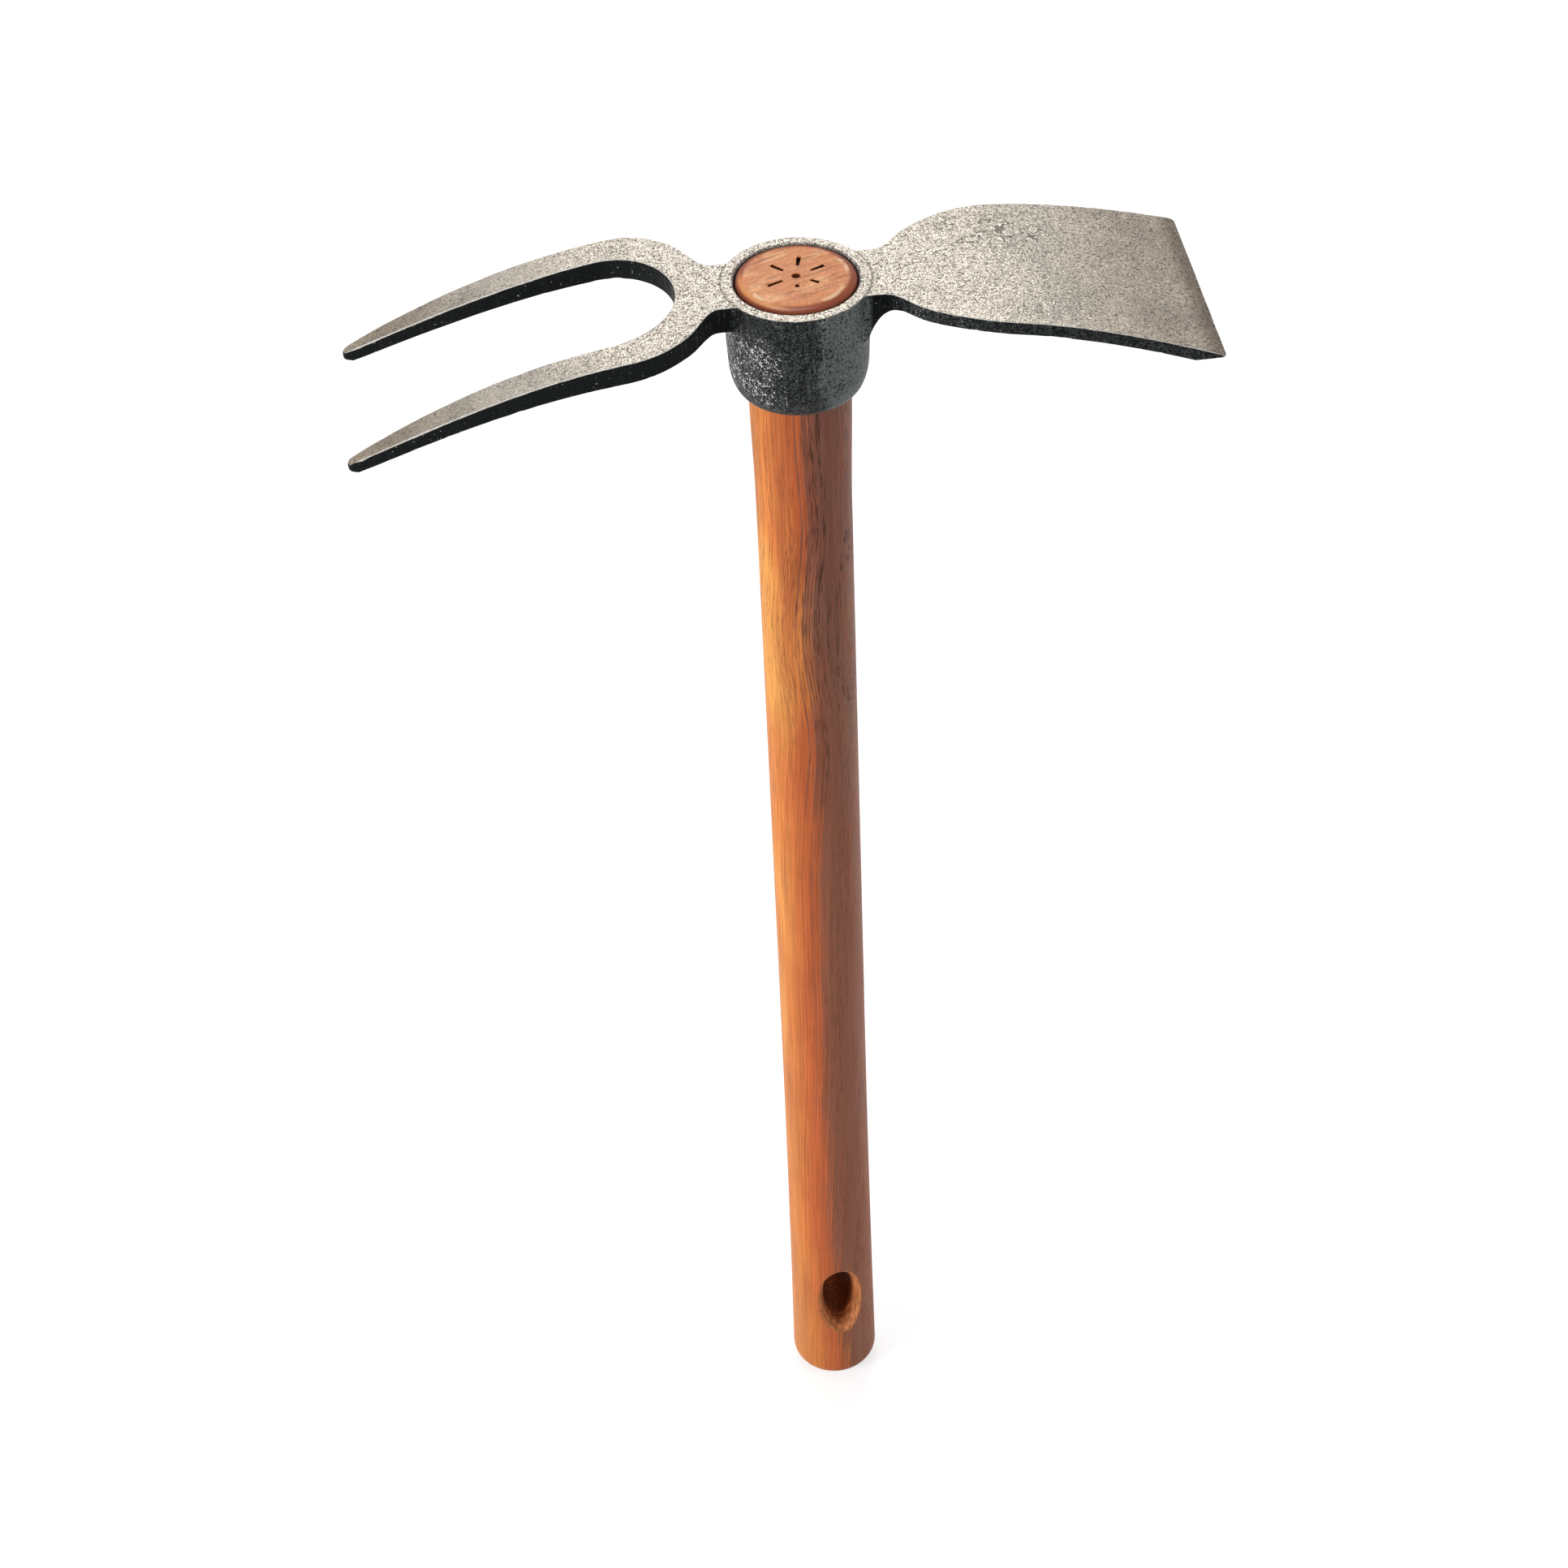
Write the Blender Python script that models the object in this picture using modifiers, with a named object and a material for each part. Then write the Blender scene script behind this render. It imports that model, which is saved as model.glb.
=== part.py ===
# Combination hoe: a forged head with a two-pronged fork and a hoe blade, on a turned wood handle.
# Metres. +Z runs up the handle, +X points along the blade and -X along the fork.
# The origin is the centre of the flat face at the grip end.

import math

import bmesh
import bpy
from mathutils import Matrix, Vector

# Handle
HANDLE_LENGTH = 0.499
GRIP_RADIUS = 0.0160
WAIST_RADIUS = 0.0150
NECK_RADIUS = 0.0157
TENON_RADIUS = 0.0185
LOWER_SWELL_HEIGHT = 0.190
UPPER_SWELL_LENGTH = 0.045
GRIP_END_ROUND = 0.0060
TENON_PROUD = 0.0010
TENON_CHAMFER_WIDTH = 0.0022
TENON_CHAMFER_HEIGHT = 0.0013

# Hanging hole through the grip, an oval countersunk from both sides
HOLE_HEIGHT = 0.0447
HOLE_TURN = math.radians(5)
HOLE_WIDTH = 0.0116
HOLE_LENGTH = 0.0272
HOLE_SINK_DEPTH = 0.0060
HOLE_SINK_SLOPE = 0.7

# Marks that the lathe's centre leaves in the end grain
CENTRE_HOLE_RADIUS = 0.00115
CENTRE_HOLE_END_RADIUS = 0.0003
CENTRE_HOLE_DEPTH = 0.0040
SPUR_COUNT = 6
SPUR_INNER_RADIUS = 0.0045
SPUR_OUTER_RADIUS = 0.0100
SPUR_WIDTH = 0.0009
SPUR_DEPTH = 0.0015
SPUR_TURN = math.radians(20)

# Eye, the socket that the handle's taper is driven into
EYE_DEPTH = 0.0368
EYE_WALL = 0.0037
EYE_TAPER = 0.0012
EYE_FOOT_HEIGHT = 0.0110
EYE_LIP = 0.0009
EYE_PROUD = 0.0002
EYE_RIM_CHAMFER = 0.0005
EYE_MOUTH_CHAMFER = 0.0007
FIT_GAP = 0.0003

# Necks, the first stretch of each arm outside the eye
NECK_RUN = 0.0010
NECK_FILLET = 0.0030
NECK_FILLET_SINK = 0.0008

# Fork
FORK_REACH = 0.136
FORK_NECK_WIDTH = 0.0236
FORK_CROTCH = 0.0360
FORK_GAP_WIDTH = 0.0448
PRONG_WIDTH = 0.0108
PRONG_TIP_WIDTH = 0.0037
PRONG_SPLAY = 0.0008
FORK_NECK_THICKNESS = 0.0088
FORK_ARM_THICKNESS = 0.0063
PRONG_TIP_THICKNESS = 0.0036
PRONG_TIP_EDGE = 0.0012
PRONG_TIP_BEVEL = 0.0045
FORK_THINNING_LENGTH = 0.015
FORK_BEND_START = 0.0325
FORK_DROP = 0.029
FORK_END_SLOPE = 0.48

# Blade
BLADE_REACH = 0.1215
BLADE_NECK_WIDTH = 0.0244
SHOULDER_REACH = 0.062
SHOULDER_WIDTH = 0.0646
EDGE_WIDTH = 0.0747
EDGE_CORNER_RADIUS = 0.0015
BLADE_NECK_THICKNESS = 0.0044
BLADE_THICKNESS = 0.0040
EDGE_THICKNESS = 0.0006
EDGE_BEVEL_LENGTH = 0.0090
GUSSET_RADIUS = 0.0120
GUSSET_SINK = 0.0025
BLADE_BEND_START = 0.044
BLADE_DROP = 0.016
BLADE_END_SLOPE = 0.34

# Curves of the head's outline, as shares of the stretch that each one shapes
FORK_BEND_PLACE = (0.52, 0.60)
FORK_BEND_PULL = (0.22, 0.24)
FORK_CREST_RUN = 1.38
BLADE_BEND_PLACE = (0.26, 0.39)
BLADE_BEND_PULL = (0.18, 0.19)
PRONG_TAPER_START = 0.20
PRONG_TIP_SLANT = 0.26
SHORT_PULL = 0.10
MIDDLE_PULL = 0.22
LONG_PULL = 0.34
TAPER_PULL = 0.45
CIRCLE_PULL = 4 / 3 * (math.sqrt(2) - 1)

# Fineness of the surfaces
RIM_CHAMFER = 0.0004
SLICE_LENGTH = 0.0055
TURNED_SEGMENTS = 64
HOLE_SEGMENTS = 40
CURVE_STEPS = 6
ROUND_STEPS = 8
CUT_PAST = 0.0020
MERGE_DISTANCE = 0.000001
SMOOTH_ANGLE = math.radians(35)

# Sizes that follow from the ones above
HEAD_TOP = HANDLE_LENGTH - TENON_PROUD
PLATE_TOP = HEAD_TOP - EYE_PROUD
EYE_BOTTOM = HEAD_TOP - EYE_DEPTH
EYE_RADIUS = TENON_RADIUS + FIT_GAP + EYE_WALL
NECK_CLEAR = EYE_RADIUS + NECK_RUN
GUSSET_START = EYE_RADIUS - GUSSET_SINK


def clear_scene():
    for thing in list(bpy.data.objects):
        bpy.data.objects.remove(thing, do_unlink=True)


def new_collection(name):
    collection = bpy.data.collections.new(name)
    bpy.context.scene.collection.children.link(collection)
    return collection


def new_object(name, data, collection):
    made = bpy.data.objects.new(name, data)
    collection.objects.link(made)
    return made


def make_material(name, colour, roughness, metallic):
    material = bpy.data.materials.new(name)
    material.use_nodes = True
    shader = material.node_tree.nodes["Principled BSDF"]
    shader.inputs["Base Color"].default_value = (*colour, 1)
    shader.inputs["Roughness"].default_value = roughness
    shader.inputs["Metallic"].default_value = metallic
    return material


def ease(share):
    share = min(max(share, 0), 1)
    return share * share * (3 - 2 * share)


def blend(start, end, share):
    return start + (end - start) * share


def make_cutter(made):
    made.hide_render = True
    made.display_type = "WIRE"


def turned_object(name, profile, collection):
    # The profile is a list of (radius, height) down the outer side, from the axis to the axis.
    mesh = bpy.data.meshes.new(name)
    points = [(radius, 0, height) for radius, height in profile]
    edges = [(i, i + 1) for i in range(len(points) - 1)]
    mesh.from_pydata(points, edges, [])
    made = new_object(name, mesh, collection)
    screw = made.modifiers.new("Turned", "SCREW")
    screw.axis = "Z"
    screw.steps = TURNED_SEGMENTS
    screw.render_steps = TURNED_SEGMENTS
    screw.use_merge_vertices = True
    screw.merge_threshold = MERGE_DISTANCE
    return made


def add_boolean(made, other, operation):
    modifier = made.modifiers.new(other.name, "BOOLEAN")
    modifier.operation = operation
    modifier.solver = "EXACT"
    modifier.object = other


def slice_mesh(shape, axis, places):
    # Cuts the faces at each place along the axis, so that the shape can bend or swell there.
    for place in places:
        geometry = shape.verts[:] + shape.edges[:] + shape.faces[:]
        bmesh.ops.bisect_plane(
            shape, geom=geometry, dist=MERGE_DISTANCE, plane_co=axis * place, plane_no=axis
        )


def shade_by_angle(mesh):
    mesh.shade_smooth()
    mesh.set_sharp_from_angle(angle=SMOOTH_ANGLE)


# Handle

def handle_radius(height):
    if height >= EYE_BOTTOM:
        share = (height - EYE_BOTTOM) / EYE_DEPTH
        return blend(NECK_RADIUS, TENON_RADIUS, share)
    upper = ease((height - EYE_BOTTOM + UPPER_SWELL_LENGTH) / UPPER_SWELL_LENGTH)
    lower = max((LOWER_SWELL_HEIGHT - height) / LOWER_SWELL_HEIGHT, 0) ** 2
    swell_up = (NECK_RADIUS - WAIST_RADIUS) * upper
    swell_down = (GRIP_RADIUS - WAIST_RADIUS) * lower
    return WAIST_RADIUS + swell_up + swell_down


def handle_profile():
    chamfer_foot = HANDLE_LENGTH - TENON_CHAMFER_HEIGHT
    tenon_edge = handle_radius(chamfer_foot)
    profile = [(0, HANDLE_LENGTH), (tenon_edge - TENON_CHAMFER_WIDTH, HANDLE_LENGTH)]
    profile.append((tenon_edge, chamfer_foot))
    profile.append((NECK_RADIUS, EYE_BOTTOM))
    upper_foot = EYE_BOTTOM - UPPER_SWELL_LENGTH
    for i in range(1, CURVE_STEPS + 1):
        height = blend(EYE_BOTTOM, upper_foot, i / CURVE_STEPS)
        profile.append((handle_radius(height), height))
    middle = (upper_foot + LOWER_SWELL_HEIGHT) / 2
    profile.append((handle_radius(middle), middle))
    for i in range(ROUND_STEPS + 1):
        height = blend(LOWER_SWELL_HEIGHT, GRIP_END_ROUND, i / ROUND_STEPS)
        profile.append((handle_radius(height), height))
    end_radius = handle_radius(GRIP_END_ROUND)
    for i in range(1, ROUND_STEPS + 1):
        turn = math.pi / 2 * i / ROUND_STEPS
        radius = end_radius - GRIP_END_ROUND * (1 - math.cos(turn))
        profile.append((radius, GRIP_END_ROUND * (1 - math.sin(turn))))
    profile.append((0, 0))
    return profile


def hole_cutter(collection):
    # An oval rod through the grip that widens to a cone at each end.
    mouth = handle_radius(HOLE_HEIGHT)
    reach = mouth + CUT_PAST
    sink_start = mouth - HOLE_SINK_DEPTH
    shape = bmesh.new()
    bmesh.ops.create_cone(
        shape, cap_ends=True, segments=HOLE_SEGMENTS, radius1=1, radius2=1, depth=2 * reach,
        matrix=Matrix.Rotation(math.pi / 2, 4, "X"),
    )
    slice_mesh(shape, Vector((0, 1, 0)), (sink_start, -sink_start))
    for vert in shape.verts:
        flare = HOLE_SINK_SLOPE * max(abs(vert.co.y) - sink_start, 0)
        vert.co.x *= HOLE_WIDTH / 2 + flare
        vert.co.z *= HOLE_LENGTH / 2 + flare
    mesh = bpy.data.meshes.new("hanging_hole_cutter")
    shape.to_mesh(mesh)
    shape.free()
    made = new_object("hanging_hole_cutter", mesh, collection)
    made.location.z = HOLE_HEIGHT
    made.rotation_euler.z = HOLE_TURN
    make_cutter(made)
    return made


def centre_mark_cutter(collection):
    # A pointed centre hole and a ring of radial slits, as one cutter of separate bodies.
    shape = bmesh.new()
    slope = (CENTRE_HOLE_RADIUS - CENTRE_HOLE_END_RADIUS) / CENTRE_HOLE_DEPTH
    drill_middle = (CUT_PAST - CENTRE_HOLE_DEPTH) / 2
    bmesh.ops.create_cone(
        shape, cap_ends=True, segments=2 * ROUND_STEPS, radius1=CENTRE_HOLE_END_RADIUS,
        radius2=CENTRE_HOLE_RADIUS + slope * CUT_PAST, depth=CENTRE_HOLE_DEPTH + CUT_PAST,
        matrix=Matrix.Translation((0, 0, drill_middle)),
    )
    length = SPUR_OUTER_RADIUS - SPUR_INNER_RADIUS
    middle = Matrix.Translation((SPUR_INNER_RADIUS + length / 2, 0, (CUT_PAST - SPUR_DEPTH) / 2))
    size = Matrix.Diagonal((length, SPUR_WIDTH, SPUR_DEPTH + CUT_PAST, 1))
    for i in range(SPUR_COUNT):
        turn = Matrix.Rotation(SPUR_TURN + 2 * math.pi * i / SPUR_COUNT, 4, "Z")
        bmesh.ops.create_cube(shape, size=1, matrix=turn @ middle @ size)
    mesh = bpy.data.meshes.new("centre_mark_cutter")
    shape.to_mesh(mesh)
    shape.free()
    made = new_object("centre_mark_cutter", mesh, collection)
    made.location.z = HANDLE_LENGTH
    make_cutter(made)
    return made


def make_handle(parts, cutters):
    handle = turned_object("handle", handle_profile(), parts)
    add_boolean(handle, hole_cutter(cutters), "DIFFERENCE")
    add_boolean(handle, centre_mark_cutter(cutters), "DIFFERENCE")
    handle.data.materials.append(make_material("stained_wood", (0.52, 0.20, 0.08), 0.45, 0.0))
    shade_by_angle(handle.data)


# Head

def eye_profile():
    # Outer wall of the eye: a slight taper, then a rounded foot that closes on the handle.
    foot_top = EYE_BOTTOM + EYE_FOOT_HEIGHT
    foot_radius = EYE_RADIUS - EYE_TAPER
    mouth_radius = NECK_RADIUS + FIT_GAP + EYE_LIP
    profile = [(0, HEAD_TOP), (EYE_RADIUS - EYE_RIM_CHAMFER, HEAD_TOP)]
    profile.append((EYE_RADIUS, HEAD_TOP - EYE_RIM_CHAMFER))
    for i in range(ROUND_STEPS + 1):
        turn = math.pi / 2 * i / ROUND_STEPS
        radius = blend(mouth_radius, foot_radius, math.cos(turn))
        profile.append((radius, foot_top - EYE_FOOT_HEIGHT * math.sin(turn)))
    profile.append((0, EYE_BOTTOM))
    return profile


def bore_profile():
    # The handle's own taper plus the fit gap, with a chamfer at the top edge.
    top = HEAD_TOP + CUT_PAST
    bottom = EYE_BOTTOM - CUT_PAST
    chamfer_foot = HEAD_TOP - EYE_MOUTH_CHAMFER
    top_radius = TENON_RADIUS + FIT_GAP
    slope = (TENON_RADIUS - NECK_RADIUS) / EYE_DEPTH
    profile = [(0, top), (top_radius + EYE_MOUTH_CHAMFER + CUT_PAST, top)]
    profile.append((top_radius - slope * EYE_MOUTH_CHAMFER, chamfer_foot))
    profile.append((NECK_RADIUS + FIT_GAP - slope * CUT_PAST, bottom))
    profile.append((0, bottom))
    return profile


def neck_fillet(side, neck):
    # The corner between a neck's edge and the eye's wall, as the two ends of an arc at +Y.
    # The arc ends just inside the wall, because the wall tapers away below.
    wall = EYE_RADIUS - NECK_FILLET_SINK
    reach = wall + NECK_FILLET
    centre_y = neck + NECK_FILLET
    centre_x = math.sqrt(reach ** 2 - centre_y ** 2)
    turn = math.acos(centre_y / reach)
    pull = 4 / 3 * math.tan(turn / 4) * NECK_FILLET
    foot = Vector((centre_x, neck))
    foot_before = foot + Vector(((NECK_CLEAR - centre_x) / 3, 0))
    foot_after = foot - Vector((pull, 0))
    end = Vector((centre_x, centre_y)) * wall / reach
    end_before = end + Vector((math.cos(turn), -math.sin(turn))) * pull
    end_after = end - Vector((end.x / 3, 0))
    arc = [(foot, foot_before, foot_after), (end, end_before, end_after)]
    if side > 0:
        return arc
    return [mirror_in_x(entry) for entry in reversed(arc)]


def mirror_in_x(entry):
    here, before, after = [Vector((-point.x, point.y)) for point in entry]
    return here, after, before


def outline_point(x, y, before, after):
    # A point of the outline, with the curve handles before and after it given from the point.
    here = Vector((x, y))
    return here, here + Vector(before), here + Vector(after)


def fork_outline():
    # Half of the fork's outline at +Y, from the neck round the prong to the crotch's apex.
    neck = FORK_NECK_WIDTH / 2
    half_gap = FORK_GAP_WIDTH / 2
    outer = half_gap + PRONG_WIDTH
    rise = outer - neck
    bend = Vector((-NECK_CLEAR - FORK_BEND_PLACE[0] * rise, neck + FORK_BEND_PLACE[1] * rise))
    bend_pull = Vector((-FORK_BEND_PULL[0], FORK_BEND_PULL[1])) * rise
    crest = -NECK_CLEAR - FORK_CREST_RUN * rise

    crotch_centre = FORK_CROTCH + half_gap
    crotch_pull = half_gap * CIRCLE_PULL
    tip_half = PRONG_TIP_WIDTH / 2
    tip_pull = tip_half * CIRCLE_PULL
    tip_middle = half_gap + PRONG_WIDTH / 2 + PRONG_SPLAY
    tip_centre = FORK_REACH - tip_half
    taper_start = blend(crotch_centre, FORK_REACH, PRONG_TAPER_START)
    taper = tip_centre - taper_start
    short = SHORT_PULL * taper
    slant = short * PRONG_TIP_SLANT

    points = neck_fillet(-1, neck)
    points += [
        outline_point(-NECK_CLEAR, neck, (SHORT_PULL * rise, 0), (-MIDDLE_PULL * rise, 0)),
        outline_point(bend.x, bend.y, -bend_pull, bend_pull),
        outline_point(crest, outer, (LONG_PULL * rise, 0), (-MIDDLE_PULL * rise, 0)),
        outline_point(-taper_start, outer, (short, 0), (-TAPER_PULL * taper, 0)),
        outline_point(-tip_centre, tip_middle + tip_half, (short, slant), (-tip_pull, 0)),
        outline_point(-FORK_REACH, tip_middle, (0, tip_pull), (0, -tip_pull)),
        outline_point(-tip_centre, tip_middle - tip_half, (-tip_pull, 0), (short, -slant)),
        outline_point(-taper_start, half_gap, (-TAPER_PULL * taper, 0), (short, 0)),
        outline_point(-crotch_centre, half_gap, (-short, 0), (crotch_pull, 0)),
        outline_point(-FORK_CROTCH, 0, (0, crotch_pull), (0, -crotch_pull)),
    ]
    return points


def blade_outline():
    # Half of the blade's outline at +Y, from the cutting edge back to the neck.
    neck = BLADE_NECK_WIDTH / 2
    half_shoulder = SHOULDER_WIDTH / 2
    half_edge = EDGE_WIDTH / 2
    rise = half_shoulder - neck
    run = SHOULDER_REACH - NECK_CLEAR
    bend = Vector((NECK_CLEAR + BLADE_BEND_PLACE[0] * run, neck + BLADE_BEND_PLACE[1] * rise))
    bend_pull = Vector(BLADE_BEND_PULL) * rise

    corner = EDGE_CORNER_RADIUS
    corner_pull = corner * CIRCLE_PULL
    flare = Vector((1, (half_edge - half_shoulder) / (BLADE_REACH - SHOULDER_REACH)))
    side_pull = flare * (BLADE_REACH - corner - SHOULDER_REACH) / 3

    points = [
        outline_point(BLADE_REACH, half_edge - corner, (0, -corner), (0, corner_pull)),
        outline_point(BLADE_REACH - corner, half_edge, (corner_pull, 0), -side_pull),
        outline_point(SHOULDER_REACH, half_shoulder, side_pull, -LONG_PULL * run * flare),
        outline_point(bend.x, bend.y, bend_pull, -bend_pull),
        outline_point(NECK_CLEAR, neck, (MIDDLE_PULL * rise, 0), (-SHORT_PULL * rise, 0)),
    ]
    return points + neck_fillet(1, neck)


def plate_outline():
    # The two halves joined at the neck, and mirrored to -Y in reverse order.
    half = blade_outline() + fork_outline()
    mirrored = []
    for here, before, after in reversed(half[:-1]):
        flipped = [Vector((point.x, -point.y)) for point in (here, after, before)]
        mirrored.append(tuple(flipped))
    return half + mirrored


def curved_drop(run, length, drop, end_slope):
    # How far a bent arm has come down after run, level at its start and steep at its end.
    share = min(max(run / length, 0), 1)
    square = 3 * drop - end_slope * length
    cube = end_slope * length - 2 * drop
    return square * share ** 2 + cube * share ** 3


def plate_height(x):
    if x < 0:
        drop = curved_drop(-x - FORK_BEND_START, FORK_REACH - FORK_BEND_START,
                           FORK_DROP, FORK_END_SLOPE)
    else:
        drop = curved_drop(x - BLADE_BEND_START, BLADE_REACH - BLADE_BEND_START,
                           BLADE_DROP, BLADE_END_SLOPE)
    return PLATE_TOP - drop


def gusset_thickness(x):
    # The underside of the blade's neck runs into the eye's wall in a quarter circle.
    run = min(max(x - GUSSET_START, 0), GUSSET_RADIUS)
    fall = math.sqrt(GUSSET_RADIUS ** 2 - (GUSSET_RADIUS - run) ** 2)
    return BLADE_NECK_THICKNESS + GUSSET_RADIUS - fall


def fork_thickness(x):
    thinned = ease((-x - EYE_RADIUS) / FORK_THINNING_LENGTH)
    arm = blend(FORK_NECK_THICKNESS, FORK_ARM_THICKNESS, thinned)
    prong_start = FORK_CROTCH + FORK_GAP_WIDTH / 2
    share = max((-x - prong_start) / (FORK_REACH - prong_start), 0)
    prong = blend(arm, PRONG_TIP_THICKNESS, share)
    bevel = min((FORK_REACH + x) / PRONG_TIP_BEVEL, 1)
    return blend(PRONG_TIP_EDGE, prong, bevel)


def blade_thickness(x):
    gusset_end = GUSSET_START + GUSSET_RADIUS
    thinned = ease((x - gusset_end) / GUSSET_RADIUS)
    body = gusset_thickness(x) + (BLADE_THICKNESS - BLADE_NECK_THICKNESS) * thinned
    bevel = min((BLADE_REACH - x) / EDGE_BEVEL_LENGTH, 1)
    return blend(EDGE_THICKNESS, body, bevel)


def plate_thickness(x):
    if x < -GUSSET_START:
        return fork_thickness(x)
    if x > GUSSET_START:
        return blade_thickness(x)
    share = (x + GUSSET_START) / (2 * GUSSET_START)
    return blend(fork_thickness(-GUSSET_START), blade_thickness(GUSSET_START), share)


def even_places(start, end):
    count = math.ceil(abs(end - start) / SLICE_LENGTH)
    return [blend(start, end, i / count) for i in range(count + 1)]


def slice_places():
    # Where the plate gets a row of points across it, closer together over the gusset's curve.
    places = even_places(PRONG_TIP_BEVEL - FORK_REACH, -GUSSET_START)
    for i in range(ROUND_STEPS):
        turn = math.pi / 2 * i / ROUND_STEPS
        places.append(GUSSET_START + GUSSET_RADIUS * (1 - math.cos(turn)))
    return places + even_places(GUSSET_START + GUSSET_RADIUS, BLADE_REACH - EDGE_BEVEL_LENGTH)


def flat_plate_mesh():
    # The outline of fork, neck and blade as a filled curve, one arm thickness deep.
    curve = bpy.data.curves.new("plate_outline", "CURVE")
    curve.dimensions = "2D"
    curve.fill_mode = "BOTH"
    curve.extrude = FORK_ARM_THICKNESS / 2
    curve.resolution_u = CURVE_STEPS
    spline = curve.splines.new("BEZIER")
    outline = plate_outline()
    spline.bezier_points.add(len(outline) - 1)
    for point, (here, before, after) in zip(spline.bezier_points, outline):
        point.handle_left_type = "FREE"
        point.handle_right_type = "FREE"
        point.co = (*here, 0)
        point.handle_left = (*before, 0)
        point.handle_right = (*after, 0)
    spline.use_cyclic_u = True
    outline_object = new_object("plate_outline", curve, bpy.context.scene.collection)
    depsgraph = bpy.context.evaluated_depsgraph_get()
    mesh = bpy.data.meshes.new_from_object(outline_object.evaluated_get(depsgraph))
    bpy.data.objects.remove(outline_object)
    return mesh


def make_plate(name, collection):
    # The flat plate with its rim chamfered, bent to the arms' drop and given their thickness.
    mesh = flat_plate_mesh()
    shape = bmesh.new()
    shape.from_mesh(mesh)
    bmesh.ops.remove_doubles(shape, verts=shape.verts, dist=MERGE_DISTANCE)
    bmesh.ops.dissolve_limit(
        shape, angle_limit=math.radians(0.1), verts=shape.verts, edges=shape.edges
    )
    rim = [edge for edge in shape.edges if edge.calc_face_angle(0) > math.radians(60)
           and abs(edge.verts[0].co.z - edge.verts[1].co.z) < MERGE_DISTANCE]
    bmesh.ops.bevel(shape, geom=rim, offset=RIM_CHAMFER, segments=1, affect="EDGES")
    slice_mesh(shape, Vector((1, 0, 0)), slice_places())
    for vert in shape.verts:
        depth = 0.5 - vert.co.z / FORK_ARM_THICKNESS
        vert.co.z = plate_height(vert.co.x) - depth * plate_thickness(vert.co.x)
    bmesh.ops.triangulate(shape, faces=shape.faces)
    bmesh.ops.recalc_face_normals(shape, faces=shape.faces)
    shape.to_mesh(mesh)
    shape.free()
    mesh.name = name
    return new_object(name, mesh, collection)


def make_head(parts, cutters):
    head = make_plate("hoe_head", parts)
    eye = turned_object("eye_body", eye_profile(), cutters)
    bore = turned_object("eye_bore_cutter", bore_profile(), cutters)
    make_cutter(eye)
    make_cutter(bore)
    add_boolean(head, eye, "UNION")
    add_boolean(head, bore, "DIFFERENCE")
    head.data.materials.append(make_material("forged_steel", (0.40, 0.38, 0.35), 0.55, 0.6))
    shade_by_angle(head.data)


def main():
    clear_scene()
    parts = new_collection("combination_hoe")
    cutters = new_collection("cutters")
    make_handle(parts, cutters)
    make_head(parts, cutters)


main()
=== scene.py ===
# Combination hoe: the finished forged head and turned wood handle, in the CAD model's own frame.
# Metres. +Z runs up the handle, +X along the blade and -X along the fork.

from functools import reduce
from math import acos, ceil, cos, hypot, pi, radians, sin, sqrt, tan

import bmesh
import bpy
import numpy as np
from mathutils import Matrix, Vector, noise
from mathutils.geometry import delaunay_2d_cdt


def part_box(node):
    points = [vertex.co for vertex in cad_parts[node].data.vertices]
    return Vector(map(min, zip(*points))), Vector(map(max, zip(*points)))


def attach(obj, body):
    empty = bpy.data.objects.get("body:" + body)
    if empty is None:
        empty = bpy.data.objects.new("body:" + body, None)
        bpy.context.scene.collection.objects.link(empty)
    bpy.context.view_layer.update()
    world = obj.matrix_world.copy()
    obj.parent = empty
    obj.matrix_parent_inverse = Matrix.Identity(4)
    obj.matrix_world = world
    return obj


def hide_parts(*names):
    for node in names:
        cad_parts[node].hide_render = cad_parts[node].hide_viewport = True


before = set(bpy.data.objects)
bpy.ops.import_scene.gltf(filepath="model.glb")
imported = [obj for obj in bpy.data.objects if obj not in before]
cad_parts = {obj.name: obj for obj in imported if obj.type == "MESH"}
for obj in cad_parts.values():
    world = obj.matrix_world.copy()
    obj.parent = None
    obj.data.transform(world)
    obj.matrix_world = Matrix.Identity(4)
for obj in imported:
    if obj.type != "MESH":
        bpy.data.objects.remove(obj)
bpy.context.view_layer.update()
gripEnd, handleTop = (corner.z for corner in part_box("handle"))
eyeFoot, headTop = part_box("hoe_head")[0].z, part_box("hoe_head")[1].z


# Camera, where the photograph was taken from

photoCamera = {
    "place": (-0.0871, -0.8177, 1.0396),
    "azimuth": 5.373,           # degrees to the right of +Y
    "pitch": 42.027,            # degrees below level
    "roll": -2.554,
    "lens": 76.11,              # mm, on a 36 mm sensor
}


def makeCamera():
    azimuth, pitch, roll = (radians(photoCamera[name]) for name in ("azimuth", "pitch", "roll"))
    forward = Vector((sin(azimuth) * cos(pitch), cos(azimuth) * cos(pitch), -sin(pitch)))
    level = Vector((cos(azimuth), -sin(azimuth), 0))
    upright = level.cross(forward)
    right = level * cos(roll) + upright * sin(roll)
    up = upright * cos(roll) - level * sin(roll)
    camera = newPiece("photoCamera", bpy.data.cameras.new("photoCamera"))
    camera.data.lens = photoCamera["lens"]
    camera.data.sensor_width = 36
    camera.data.clip_start = 0.05
    turn = Matrix((right, up, -forward)).transposed().to_4x4()
    camera.matrix_world = Matrix.Translation(photoCamera["place"]) @ turn
    bpy.context.scene.camera = camera


# Small helpers for node trees. A joined node goes into the tree of the sockets that it is given.

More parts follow.
